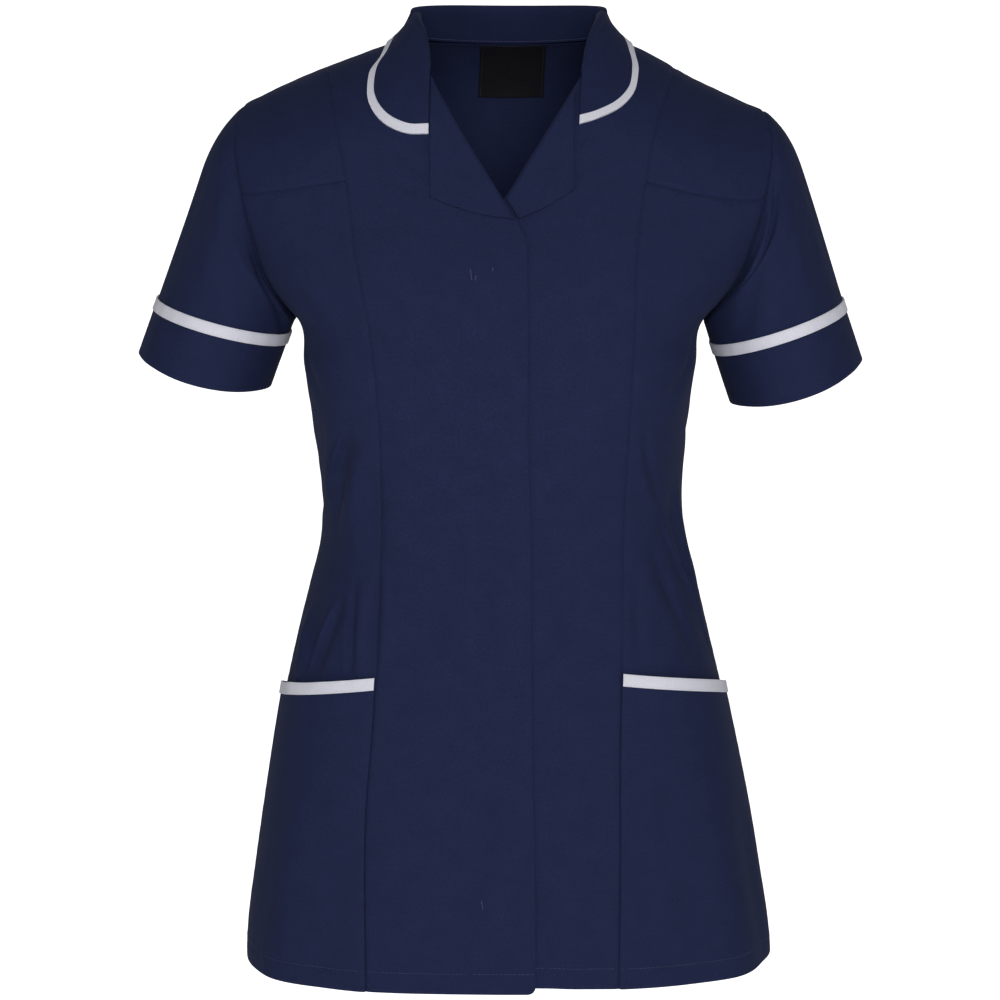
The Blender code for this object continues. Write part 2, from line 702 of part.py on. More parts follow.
def sleeves(hand, cloth, tape):
    side_name = "left" if hand > 0 else "right"
    turns = armhole_turns()
    shares = np.concatenate([np.linspace(0, 1, SLEEVE_CAP_ROWS + 1),
                             np.linspace(1, 2, SLEEVE_ROWS + 1)[1:]])
    outer = np.stack([sleeve_line(hand, t, shares) for t in turns], axis=1)
    normals = tube_normals(outer)
    body = np.array([armhole_frame(t)[1] for t in turns])
    over = ((1 + np.cos(turns)) / 2)[:, None]
    normals[0] = unit(normals[0] * (1 - over) + body * over)
    add_piece("sleeve_" + side_name, outer, outer - normals * CLOTH, cloth, True, hand)

    ring_turns = turns - SLEEVE_TWIST * np.sin(turns) * np.abs(np.sin(turns))
    cuff = CUFF_HEIGHT[hand]
    ups = (cuff + TRIM_WIDTH + SEAM_GAP, cuff + SEAM_GAP)
    outer = np.stack([[sleeve_ring(hand, t, up) for t in ring_turns] for up in ups])
    normals = tube_normals(outer)
    lift = SEAM_GAP + TAPE
    add_piece("cuff_trim_" + side_name, outer + normals * lift, outer + normals * SEAM_GAP,
              tape, True, hand)

    ups = ((cuff, 0.0), (cuff / 2, CUFF_DIP / 2), (0.0, CUFF_DIP))
    outer = np.stack([[sleeve_ring(hand, t, up, dip) for t in ring_turns] for up, dip in ups])
    normals = tube_normals(outer)
    add_piece("cuff_" + side_name, outer + normals * SEAM_GAP, outer - normals * CLOTH,
              cloth, True, hand)


# ---- Collar, lapels and label -------------------------------------------------------

def neck_seam_place(degrees):
    """Signed place of the neck seam at a turn round the neck from the centre back."""
    if degrees <= 90:
        return 1, neck_back(np.radians(degrees))
    return -1, neck_front((degrees - 90) / (COLLAR_END_TURN - 90))


def collar_section(hand, degrees, stops):
    """Middle line of the collar at one turn: up the stand, over the fold, down the fall."""
    side, seam = neck_seam_place(degrees)
    seam_point = form_point(side, *seam)
    seam_across = seam_point[0]
    seam_signed = -side * seam[1]
    own_side = "left_" if hand > 0 else "right_"
    edge_across = read(COLLAR_EDGE, own_side + "across", degrees)
    edge_signed = read(COLLAR_EDGE, own_side + "drop", degrees)

    def fall_point(share, lift):
        across = seam_across + (edge_across - seam_across) * share
        signed = seam_signed + (edge_signed - seam_signed) * share
        at_side, place = place_near_neck(across, signed)
        return form_point(at_side, *place) + form_normal(at_side, *place) * lift

    round_neck = np.cos(np.pi / 2 * degrees / COLLAR_END_TURN)
    taper = round_neck**COLLAR_STAND_CURVE
    height = COLLAR_STAND_LEAST + (COLLAR_STAND - COLLAR_STAND_LEAST) * taper
    away = unit((fall_point(1.0, 0.0) - seam_point) * (1, 1, 0))
    base = seam_point - away * (2 * SEAM_GAP + COLLAR_CLOTH / 2)
    ahead = np.clip((degrees - 90) / (COLLAR_END_TURN - 90), 0, 1)
    rise = (COLLAR_CLEAR + COLLAR_CLOTH / 2) * np.sin(np.pi / 2 * ahead)
    base = base + form_normal(side, *seam) * rise
    crown = base - away * COLLAR_LEAN * height + np.array((0, 0, height))
    hub = crown - np.array((0, 0, COLLAR_FOLD_RADIUS))
    points = []
    for part, share in stops:
        if part == "stand":
            foot = base + np.array((0, 0, 2 * SEAM_GAP))
            points.append(foot + (hub - away * COLLAR_FOLD_RADIUS - foot) * share)
        elif part == "fold":
            turn = np.pi * (1 - share)
            points.append(hub + COLLAR_FOLD_RADIUS
                          * (away * np.cos(turn) + np.array((0, 0, np.sin(turn)))))
        else:
            start = hub + away * COLLAR_FOLD_RADIUS
            lift = COLLAR_CLEAR + COLLAR_CLOTH / 2
            apart = start - fall_point(0.0, lift)
            points.append(fall_point(share, lift) + apart * (1 - share)**COLLAR_SPREAD)
    return np.array(points)


def sheet_normals(grid):
    return unit(np.cross(np.gradient(grid, axis=1), np.gradient(grid, axis=0)))


def collar_turns():
    """Turns of the collar's sections, which share the neck seam's own points."""
    behind = np.linspace(0, 90, BACK_NECK_COLUMNS // 2 + 1)
    ahead = np.linspace(90, COLLAR_END_TURN, 2 * NECK_ROWS + 1)[1:]
    return np.concatenate([behind, ahead])


def mirrored_sections(stops_at):
    """Sections from the wearer's right front end round the back to the left front end."""
    halves = {hand: np.stack([collar_section(hand, t, stops_at(t)) for t in collar_turns()])
              for hand in (-1, 1)}
    return np.concatenate([halves[-1][:0:-1] * (-1, 1, 1), halves[1]])


def trim_share(degrees):
    """Share of the fall at which the tape takes over from the collar's cloth."""
    ends = collar_section(-1, degrees, (("fall", 0.5), ("fall", 1.0)))
    return 1 - COLLAR_TRIM_WIDTH / (2 * np.linalg.norm(ends[1] - ends[0]))


def collar(cloth, tape):
    def cloth_stops(degrees):
        stand = [("stand", s) for s in (0.0, 0.5, 1.0)]
        fold = [("fold", s) for s in (0.25, 0.5, 0.75, 1.0)]
        last = trim_share(degrees)
        return stand + fold + [("fall", last * s) for s in (0.33, 0.67, 1.0)]

    def tape_stops(degrees):
        start = trim_share(degrees)
        gap = TRIM_GAP / COLLAR_TRIM_WIDTH * (1 - start)
        return [("fall", start + gap), ("fall", 1.0)]

    for name, stops, material in (("collar", cloth_stops, cloth),
                                  ("collar_trim", tape_stops, tape)):
        middle = mirrored_sections(stops)
        half = sheet_normals(middle) * COLLAR_CLOTH / 2
        add_piece(name, middle + half, middle - half, material)


def lapel(hand, cloth):
    """A lapel is the front's own facing, turned back along the roll line."""
    share = np.linspace(0, 1, LAPEL_ROWS + 1)
    foot = np.array(ROLL_FOOT if hand < 0 else UNDER_LAPEL_FOOT)
    heel = np.array(ROLL_FOOT if hand < 0 else UNDER_LAPEL_HEEL)
    corner = np.array(LAPEL_CORNER[hand])
    roll = foot + (LAPEL_TOP_INNER[hand] - foot) * share[:, None]
    edge = corner + (LAPEL_TOP_OUTER[hand] - corner) * share[:, None]
    if hand > 0:
        roll = np.concatenate([[heel], roll])
        edge = np.concatenate([edge[:1], (edge[:1] + edge[1:2]) / 2, edge[1:]])
    along = np.linspace(0, 1, LAPEL_COLUMNS + 1)[:, None]
    bottom = heel + (corner - heel) * along
    bottom[:, 1] -= LAPEL_BOW[hand] * np.sin(np.pi * along[:, 0])
    top = roll[-1] + (edge[-1] - roll[-1]) * along
    flat = fill_between(roll, edge, bottom, top)
    places = place_at(-1, flat[..., 0], flat[..., 1])
    lift = LAPEL_CLEAR + LAPEL_CLOTH + (under_lap(places) if hand > 0 else 0.0)
    name = "lapel_left" if hand > 0 else "lapel_right"
    add_panel(name, -1, places, (), cloth, hand, lift, LAPEL_CLOTH)


def neck_label(material):
    across = np.linspace(LABEL_LEFT, LABEL_RIGHT, LABEL_STEPS + 1)
    heights = np.linspace(LABEL_FOOT, LABEL_TOP, LABEL_STEPS + 1)
    places = place_at(1, *np.meshgrid(across, heights))
    lift = -(CLOTH + LABEL_CLEAR)
    add_panel("neck_label", 1, places, (), material, 1, lift, LABEL_CLOTH)


def main():
    for old in list(bpy.data.objects):
        bpy.data.objects.remove(old)
    navy = {}
    for name in ("centre_front", "side_front", "front_yoke", "back", "sleeve", "pocket",
                 "collar", "lapel"):
        navy[name] = cloth_material("navy_" + name, NAVY, 0.85)
    tape = cloth_material("white_tape", WHITE, 0.8)
    label = cloth_material("label_weave", LABEL_BLACK, 0.6)
    for hand in (-1, 1):
        centre_front(hand, navy["centre_front"])
        side_front(hand, navy["side_front"])
        front_yoke(hand, navy["front_yoke"])
        pockets(hand, navy["pocket"], tape)
        sleeves(hand, navy["sleeve"], tape)
        lapel(hand, navy["lapel"])
    back(navy["back"])
    collar(navy["collar"], tape)
    neck_label(label)


main()
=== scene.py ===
"""A short-sleeved work tunic, filled out as it is worn, with no wearer.

Metres, or mm in the tables, +Z up. The front faces -Y and +X is the wearer's left. The
sections follow the tunic as it is sewn: back, fronts, pockets, sleeves, collar, lapels,
label and stitching.
"""

import bpy
import numpy as np
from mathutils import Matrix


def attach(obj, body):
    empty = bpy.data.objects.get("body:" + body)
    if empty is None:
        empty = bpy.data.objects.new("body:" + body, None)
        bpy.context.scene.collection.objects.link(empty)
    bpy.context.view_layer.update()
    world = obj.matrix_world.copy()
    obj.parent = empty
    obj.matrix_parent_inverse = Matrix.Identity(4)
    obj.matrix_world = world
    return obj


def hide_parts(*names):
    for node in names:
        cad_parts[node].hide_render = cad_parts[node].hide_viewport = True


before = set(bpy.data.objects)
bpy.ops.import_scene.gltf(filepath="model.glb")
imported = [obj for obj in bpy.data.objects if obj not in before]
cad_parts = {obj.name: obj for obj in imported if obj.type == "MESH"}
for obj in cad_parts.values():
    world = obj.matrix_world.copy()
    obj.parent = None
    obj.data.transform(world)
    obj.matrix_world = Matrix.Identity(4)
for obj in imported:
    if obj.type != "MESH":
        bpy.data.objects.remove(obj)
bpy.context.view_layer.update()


# ---- The back ------------------------------------------------------------------------
# One panel of navy polyester-cotton twill, from side seam to side seam, cut to the figure
# that every panel shares. It is sewn to the fronts at the shoulders and sides, and its
# hem is turned up and stitched.

def table(names, *rows):
    """A dict of columns, from rows in mm, with turns in degrees and squareness, a share, in
    thousandths; the first column is the one that the table is read by."""
    return {name: column / (1 if name == "turn" else 1000)
            for name, column in zip(names.split(), np.array(rows).T)}


FIGURE = table(
    "height half_width front_depth back_depth squareness",
    (-700, 199, 125.5, 125.5, 50),
    (-660, 196.5, 123.8, 124.5, 50),
    (-620, 190.2, 122, 123, 50),
    (-560, 179.8, 119, 120, 50),
    (-480, 163.5, 115, 114, 50),
    (-440, 154, 113, 110, 50),
    (-400, 144.5, 112, 104, 50),
    (-370, 137, 113, 100, 50),
    (-340, 134, 115.5, 98.5, 52),
    (-300, 136.5, 121, 100, 58),
    (-270, 139.7, 126, 103, 68),
    (-235, 144.5, 129, 106.5, 75),
    (-202, 150.5, 127.5, 109, 65),
    (-190, 162, 126.2, 109.6, 58),
    (-167, 182, 122.5, 110, 45),
    (-150, 193, 118, 110, 35),
    (-126, 208, 109.5, 109.5, 25),
    (-100, 218, 99.5, 108.5, 20),
    (-70, 230, 87, 107.5, 20),
    (-40, 236, 74, 106.5, 20),
    (0, 236, 59, 106, 20),
    (40, 236, 50, 106, 20),
)

# How far the whole garment stands to the wearer's left of its centre line
SWAY = table(
    "height across",
    (-700, 3.3), (-600, 2.2), (-500, 0), (-440, -0.5), (-340, -1), (-260, -3.4),
    (-200, -2.6), (-126, -0.8), (-50, 0), (0, 2.5), (30, 4.5),
)

# How far the shoulders stand above a level garment, from the wearer's right to the left:
# the right shoulder is the higher one
SHOULDER_LIFT = table(
    "across lift",
    (-225, 1), (-195, 2.8), (-170, 5), (-145, 5), (-110, 3.2), (-85, 1.8), (-60, 0),
    (60, 0), (80, 1.8), (105, 2.2), (130, -0.2), (155, -1.4), (175, -1.9), (195, -0.5),
    (215, 2),
)
LIFT_FROM = -0.200
LIFT_FULL = -0.060

NECK_HALF_WIDTH = 0.075
SHOULDER_FALL = 0.455
SHOULDER_ROUNDING = 0.035
ROLL_RADIUS = {-1: 0.070, 1: 0.075}
SHOULDER_TIP_HEIGHT = -0.0505
ARMPIT_HEIGHT = -0.202
ARMHOLE_REACH = {-1: 0.058, 1: 0.062}
ARMHOLE_EGG = 0.15
ARMHOLE_MIDDLE = (SHOULDER_TIP_HEIGHT + ARMPIT_HEIGHT) / 2
ARMHOLE_HALF = (SHOULDER_TIP_HEIGHT - ARMPIT_HEIGHT) / 2
HEM_HEIGHT = {-1: -0.6855, 1: -0.6825}
POCKET_MOUTH_OUTER = -0.4795
TRIM_WIDTH = 0.009
CLOTH = 0.0012

# Rows of the fine surfaces, from the hem up
SKIRT_ROWS = 70
TRIM_ROWS = 4
WAIST_ROWS = 120
CHEST_ROWS = 40
YOKE_ROWS = 36


def read(columns, name, at):
    """A smooth curve through one column, read at the values of the first column."""
    keys = next(iter(columns.values()))
    values = columns[name]
    slopes = np.gradient(values, keys)
    at = np.clip(at, keys[0], keys[-1])
    i = np.clip(np.searchsorted(keys, at) - 1, 0, len(keys) - 2)
    span = keys[i + 1] - keys[i]
    t = (at - keys[i]) / span
    rise = values[i + 1] - values[i]
    bend_a = slopes[i] * span - rise
    bend_b = rise - slopes[i + 1] * span
    return values[i] + t * rise + t * (1 - t) * ((1 - t) * bend_a + t * bend_b)


def unit(vectors):
    """Vectors divided by their own length."""
    return vectors / np.linalg.norm(vectors, axis=-1, keepdims=True)


def steps(count):
    return np.linspace(0, 1, count + 1)


def smooth(share):
    """Eases a share in and out: three squares less two cubes."""
    return share * share * (3 - 2 * share)


def section_at(height, angle):
    """Level sections are ellipses squared off by a third harmonic: the distance from the
    centre and the share of full depth at an angle."""
    square = read(FIGURE, "squareness", height)
    across = (np.sin(angle) + square * np.sin(3 * angle)) / (1 - square)
    depth = (np.cos(angle) - square * np.cos(3 * angle)) / (1 - square)
    return read(FIGURE, "half_width", height) * across, depth


def shoulder_height(across):
    """Height of the shoulder line, rounded where it would cross the neck."""
    at_neck = np.hypot(NECK_HALF_WIDTH, SHOULDER_ROUNDING)
    return SHOULDER_FALL * (at_neck - np.hypot(across, SHOULDER_ROUNDING))


def fall_of(side, drop):
    """Vertical fall below the shoulder line, and the share of full depth reached there."""
    radius = ROLL_RADIUS[side]
    turn = np.clip(drop / radius, -np.pi / 2, np.pi / 2)
    past = np.abs(drop) - radius * np.pi / 2
    return radius * (1 - np.cos(turn)) + np.maximum(past, 0), np.sin(turn)


def drop_of(side, fall):
    """The drop along the form for a vertical fall below the shoulder line."""
    radius = ROLL_RADIUS[side]
    turn = np.arccos(np.clip(1 - fall / radius, 0, 1))
    return radius * turn + np.maximum(fall - radius, 0)


def full_depth(side, height):
    """Depth of the form in front of its widest line, or behind it."""
    return read(FIGURE, "front_depth" if side < 0 else "back_depth", height)


def form_point(side, angle, drop):
    """Points of the form: an angle round the section that lies a fall below the shoulder."""
    angle, drop = np.broadcast_arrays(angle, drop)
    fall, share = fall_of(side, drop)
    height = -fall
    for _ in range(20):
        across = section_at(height, angle)[0]
        height = shoulder_height(across) - fall
    depth = section_at(height, angle)[1] * full_depth(side, height)
    return np.stack([across, side * depth * share, height], -1)


def on_form(side, places, step=2e-4):
    """Points of the form and their outward normals, from small steps each way."""
    angle, drop = places[..., 0], places[..., 1]
    round_body = form_point(side, angle + step, drop) - form_point(side, angle - step, drop)
    down = form_point(side, angle, drop + step) - form_point(side, angle, drop - step)
    return form_point(side, angle, drop), unit(side * np.cross(round_body, down))


def last_angle(holds, like):
    """The last angle of a quarter turn at which a condition still holds, by halving."""
    low, high = np.zeros_like(like), np.full_like(like, np.pi / 2)
    for _ in range(45):
        middle = (low + high) / 2
        here = holds(middle)
        low, high = np.where(here, middle, low), np.where(here, high, middle)
    return low


def place_at(side, across, height):
    """The (angle, drop) of places given by distance from the centre and height."""
    across, height = np.broadcast_arrays(np.asarray(across, float), height)
    angle = last_angle(lambda angle: section_at(height, angle)[0] < np.abs(across), across)
    fall = np.maximum(shoulder_height(across) - height, 0)
    return np.stack([np.sign(across) * angle, drop_of(side, fall)], axis=-1)


def place_round(side, angle, height):
    """The (angle, drop) of places given by their angle and height."""
    fall = np.maximum(shoulder_height(section_at(height, angle)[0]) - height, 0)
    return np.stack(np.broadcast_arrays(angle, drop_of(side, fall)), axis=-1)


def place_on_shoulder(across):
    """Places on the shoulder line, with no drop."""
    return place_at(-1, across, shoulder_height(across)) * (1, 0)


def armhole_place(side, turn):
    """Armhole seam: an egg seen from the side, turning from the shoulder tip (0) down the
    front to the armpit (pi) and up the back; its angle is where the form has its depth."""
    height = ARMHOLE_MIDDLE + ARMHOLE_HALF * np.cos(turn)
    depth = ARMHOLE_REACH[side] * np.abs(np.sin(turn)) * (1 - ARMHOLE_EGG * np.cos(turn))

    def deeper(angle):
        share = fall_of(side, place_round(side, angle, height)[..., 1])[1]
        return full_depth(side, height) * section_at(height, angle)[1] * share > depth

    return place_round(side, last_angle(deeper, height), height)


def body_heights(hem, mouth):
    """Row heights below the armpit: skirt, the width of the pocket tape, then waist."""
    skirt = np.linspace(hem, mouth - TRIM_WIDTH, SKIRT_ROWS + 1)
    tape = np.linspace(mouth - TRIM_WIDTH, mouth, TRIM_ROWS + 1)[1:]
    return np.concatenate([skirt, tape, np.linspace(mouth, ARMPIT_HEIGHT, WAIST_ROWS + 1)[1:]])


def side_seam(side, hand):
    """A side seam at a quarter turn, from the hem up to the armpit."""
    return place_round(side, np.pi / 2, body_heights(HEM_HEIGHT[hand], POCKET_MOUTH_OUTER))


def hem_row(side, start, end, columns, height_start, height_end):
    """A hem between two angles; its height runs evenly from one end to the other."""
    return place_round(side, np.linspace(start, end, columns + 1),
                       np.linspace(height_start, height_end, columns + 1))


def fill_between(left, right, bottom, top):
    """A grid of places between four seams that meet at their ends (a Coons patch)."""
    v = np.linspace(0, 1, len(left))[:, None, None]
    u = np.linspace(0, 1, len(bottom))[None, :, None]
    sides = (1 - u) * left[:, None] + u * right[:, None]
    ends = (1 - v) * bottom[None] + v * top[None]
    corners = (1 - v) * ((1 - u) * bottom[0] + u * bottom[-1])
    corners = corners + v * ((1 - u) * top[0] + u * top[-1])
    return sides + ends - corners


def crowd_edges(grid):
    """Adds close lines just inside all four edges, for the turn of the cloth at a seam."""
    for axis in (0, 1):
        last = grid.shape[axis] - 1
        at = np.concatenate([[0, 0.12, 0.35], np.arange(1, last),
                             [last - 0.35, last - 0.12, last]])
        low = np.minimum(at.astype(int), last - 1)
        share = np.expand_dims(at - low, tuple(range(1, grid.ndim)))
        moved = np.moveaxis(grid, axis, 0)
        grid = np.moveaxis(moved[low] * (1 - share) + moved[low + 1] * share, 0, axis)
    return grid


def turn_in(grid, edges):
    """Repeats the line of each seam edge; the doubled line turns in by its allowance."""
    folded = np.zeros(grid.shape[:2])
    for edge, allowance in edges.items():
        axis = 0 if edge in ("bottom", "top") else 1
        order = 1 if edge in ("bottom", "left") else -1
        index = [0 if order > 0 else -1]
        line, mark = np.take(grid, index, axis), np.take(folded, index, axis)
        grid = np.concatenate((line, grid)[::order], axis=axis)
        folded = np.concatenate((np.maximum(mark, allowance), folded)[::order], axis=axis)
    return grid, folded


def run_along(points, axis):
    """The length so far along each line of points."""
    lengths = np.linalg.norm(np.diff(points, axis=axis), axis=-1).cumsum(axis)
    return np.insert(lengths, 0, 0, axis=axis)


def edge_distances(points):
    """Distance of each point from each edge of its panel, along the rows and columns."""
    up, across = run_along(points, 0), run_along(points, 1)
    return {"bottom": up, "top": up[-1:] - up, "left": across, "right": across[:, -1:] - across}


def weave_map(reach, first="left", second="bottom"):
    """Metres along and across the cloth, from the distances from two edges."""
    return np.stack([reach[first], reach[second]], axis=-1)


def troughs(folds, radius, length, turn, up):
    """Sum of soft folds. Each is a bell across its bowed line, with a lower ridge on both
    sides, and fades to its ends; a minus depth makes it a ridge."""
    ends = (np.radians(1) * radius, length)
    across = turn * radius
    lift = np.zeros(np.broadcast(across, up).shape)
    for a0, b0, a1, b1, bow, width, depth in np.array(folds) * (ends * 2 + (0.001,) * 3):
        run = np.hypot(a1 - a0, b1 - b0)
        da, db = (a1 - a0) / run, (b1 - b0) / run
        along = ((across - a0) * da + (up - b0) * db) / run
        off = (across - a0) * db - (up - b0) * da - 4 * bow * along * (1 - along)
        fade = smooth(np.clip(np.minimum(along, 1 - along) / 0.35, 0, 1))
        bell = np.exp(-(off / width)**2)
        ridge = np.exp(-((np.abs(off) - 1.9 * width) / (1.1 * width))**2)
        lift -= depth * fade * (bell - 0.4 * ridge)
    return lift


# Soft folds of the body, by side: angle round the body in degrees and height in mm, from
# one end to the other, then bow, width and depth in mm
FRONT_FOLDS = (
    # the waist at the wearer's right, from the chest down to the side seam
    (-43, -272, -71, -340, 0, 2.4, -2.4),
    (-39, -272, -62, -352, 4, 10, 5.1),
    (-36.5, -290, -37.5, -385, 0, 12, 2.7),
    (-60, -270, -84, -312, 3, 6, 1.1),
    (-72, -330, -88, -352, 2, 4.5, 0.9),
    # beside the princess seam, above the pocket
    (-34.8, -372, -31, -462, 0, 4, 2.9),
    (-43.5, -378, -38, -466, 0, 3.4, 2),
    (-39.8, -378, -35.2, -466, 0, 3.6, -1.7),
    # the hip at the wearer's right
    (-48, -396, -60.5, -468, 2, 2.4, -2.2),
    (-45.5, -398, -55, -470, 2, 6, 2.7),
    (-70, -410, -64, -480, 0, 11, -4.1),
    (-84, -400, -80, -475, 0, 7, 0.9),
    # the waist and hip at the wearer's left
    (46, -318, 84, -472, 0, 2.6, -1.8),
    (58, -318, 80, -425, 2, 8.5, 5.1),
    (38, -270, 52, -338, 2, 4.5, 1.9),
    (44, -352, 62, -462, 3, 8, 2.4),
    (66, -262, 88, -305, -3, 5.5, 1),
    (36.5, -380, 33.5, -455, 0, 5, 1.5),
    # under the arms and on the chest
    (-74, -208, -50, -258, 4, 6.5, 1.6),
    (68, -206, 44, -262, -4, 7, 1.5),
    (-84, -222, -68, -262, 2, 4.5, 1),
    (-21, -130, -31, -212, 3, 12, -1),
    (22, -140, 28, -230, -3, 13, -0.9),
    (-13, -135, -17, -300, 4, 15, 0.7),
    (13, -300, 16, -620, 5, 17, 0.9),
    # the skirt, the facing behind the front edge, and the left front's long crease
    (27.3, -463, 27.8, -672, 0, 5, 0.7),
    (-5.2, -545, -4.9, -640, 0, 3.6, 1),
    (-6.6, -160, -5.6, -560, 0, 3, 0.3),
    (-17, -420, -19, -700, 4, 16, -0.9),
    (-52, -520, -55, -730, 0, 17, -2),
    (48, -520, 52, -730, 0, 18, -2),
    (-36, -540, -38, -730, 0, 13, 1),
    (68, -540, 70, -730, 0, 15, 1.3),
)
BACK_FOLDS = (
    # drag lines over the hollow of the back
    (-36, -318, 12, -330, 4, 5.5, 2.4),
    (-14, -345, 36, -338, -3, 5, 2),
    (-30, -366, -2, -372, 2, 4.5, 1.4),
    (6, -306, 34, -298, -3, 6, 1.6),
    # from the blades and the sides into the waist
    (-44, -276, -80, -330, 3, 5, 2.6),
    (-50, -300, -78, -356, 2, 2.8, -1.4),
    (50, -272, 82, -322, -3, 5.5, 2.5),
    (46, -305, 74, -352, -2, 2.8, -1.4),
    (-60, -372, -68, -470, 2, 6, 2),
    (62, -378, 66, -476, -2, 6.5, 1.9),
    (-28, -105, -33, -262, 4, 13, -1.6),
    (29, -100, 34, -255, -4, 14, -1.6),
    (-3, -60, 2, -250, 3, 16, 1.2),
    (-70, -192, -48, -244, 4, 6, 1.8),
    (69, -194, 46, -238, -4, 6.5, 1.7),
    # the skirt
    (-42, -450, -47, -730, 0, 18, -2.8),
    (3, -430, 6, -730, 0, 20, -2.4),
    (44, -455, 50, -730, 0, 18, -2.8),
    (-19, -470, -21, -730, 0, 15, 1.8),
    (24, -460, 27, -730, 0, 15, 1.8),
    (-68, -520, -70, -730, 0, 14, 1.4),
    (70, -510, 72, -730, 0, 14, 1.4),
)
FOLD_RADIUS = 0.15


def body_folds(side, angle, height):
    """The listed folds, with a slow unevenness of long crossing waves under them."""
    across = angle * FOLD_RADIUS
    slow = 0.00030 * np.sin(61 * across + 9 * height + 1.3 * side)
    slow += 0.00022 * np.sin(97 * across - 17 * height + 2.1)
    slow += 0.00018 * np.sin(23 * across + 41 * height + 0.4)
    folds = FRONT_FOLDS if side < 0 else BACK_FOLDS
    return troughs(folds, FOLD_RADIUS, 0.001, angle, height) + slow


def seam_dip(distance, along):
    """A seam: a narrow valley, a low band of turned-in cloth beside it, small puckers."""
    valley = -0.00080 * np.exp(-(distance / 0.0011)**2)
    band = 0.00020 * np.exp(-((distance - 0.0055) / 0.0035)**2)
    pucker = np.sin(along * 2 * np.pi / 0.013 + 2.2 * np.sin(along * 2 * np.pi / 0.071))
    return valley + band + 0.00010 * pucker * np.exp(-(distance / 0.007)**2)


HEM_DEPTH = 0.015


def hem_dip(distance, along):
    """A turned-up hem: a doubled band, a dent along its stitches and small waves."""
    band = 0.000125 * (1 - np.tanh((distance - HEM_DEPTH) / 0.0012))
    dent = -0.00035 * np.exp(-((distance - HEM_DEPTH) / 0.0012)**2)
    pull = np.sin(along * 2 * np.pi / 0.017 + 2.6 * np.sin(along * 2 * np.pi / 0.09))
    return band + dent + 0.00018 * pull * np.exp(-((distance - HEM_DEPTH) / 0.008)**2)


def new_mesh(name, points, faces, material):
    mesh = bpy.data.meshes.new(name)
    mesh.from_pydata(points.reshape(-1, 3).tolist(), [], faces)
    mesh.shade_smooth()
    mesh.materials.append(material)
    return mesh


def new_object(name, data):
    piece = bpy.data.objects.new(name, data)
    bpy.context.scene.collection.objects.link(piece)
    return piece


def build_cloth(name, points, outwards, flat, material, thick, closed=False, centred=False):
    """A cloth wall: quads over the grid of points, with its thickness added by Solidify,
    its cut edges rounded by Bevel, and a UV map of metres along and across the cloth."""
    rows, columns = points.shape[:2]
    if closed:
        flat = np.concatenate([flat, flat[:, :1] + (flat[:, -1:] - flat[:, -2:-1])], axis=1)
        flat[:, -1, 1] = flat[:, 0, 1]
    wide = columns + closed
    index = np.arange(rows * wide).reshape(rows, wide)
    quads = np.stack([index[:-1, :-1], index[:-1, 1:], index[1:, 1:], index[1:, :-1]], -1)
    quads = quads.reshape(-1, 4)
    vertex = (np.arange(rows)[:, None] * columns + np.arange(wide) % columns).ravel()
    corners = points.reshape(-1, 3)[vertex[quads]]
    facing = np.cross(corners[:, 2] - corners[:, 0], corners[:, 3] - corners[:, 1])
    if (facing * outwards.reshape(-1, 3)[vertex[quads[:, 0]]]).sum() < 0:
        quads = quads[:, ::-1]
    mesh = new_mesh(name, points, vertex[quads].tolist(), material)
    uv = mesh.uv_layers.new(name="weave")
    uv.data.foreach_set("uv", flat.reshape(-1, 2)[quads.ravel()].ravel())
    piece = new_object(name, mesh)
    wall = piece.modifiers.new("wall", "SOLIDIFY")
    wall.thickness = thick
    wall.offset = 0 if centred else -1
    edge = piece.modifiers.new("edge", "BEVEL")
    edge.width = thick * 0.3
    edge.segments = 2
    edge.limit_method = "ANGLE"
    edge.angle_limit = np.radians(55)
    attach(piece, "root")
    return piece


def as_worn(points, hand=1):
    """Points moved to their own side, then from a level garment to the way it is worn."""
    points = points * (hand, 1, 1)
    share = smooth(np.clip((points[..., 2] - LIFT_FROM) / (LIFT_FULL - LIFT_FROM), 0, 1))
    lift = read(SHOULDER_LIFT, "lift", points[..., 0]) * share
    sway = read(SWAY, "across", points[..., 2])
    return points + np.stack([sway, np.zeros_like(sway), lift], axis=-1)


# How far the cloth turns in at a seam, and at the neck, where the collar's stand covers it
ALLOWANCE = 0.0032
NECK_ALLOWANCE = 0.0004


def seams_at(*edges):
    """The usual allowance at each named edge."""
    return {edge: ALLOWANCE for edge in edges}


def round_corner(points, radius):
    """Rounds the corner of the hem and the left edge, by the map of a square to a disc:
    each share of the radius shrinks by the root of one less half the other's square."""
    reach = edge_distances(points)
    u = np.clip(1 - reach["left"] / radius, 0, 1)
    v = np.clip(1 - reach["bottom"] / radius, 0, 1)
    ahead, upwards = (step / np.maximum(np.linalg.norm(step, axis=-1, keepdims=True), 1e-9)
                      for step in (np.gradient(points, axis=1), np.gradient(points, axis=0)))
    inwards = radius * u * (1 - np.sqrt(1 - v * v / 2))
    raised = radius * v * (1 - np.sqrt(1 - u * u / 2))
    return points + ahead * inwards[..., None] + upwards * raised[..., None]


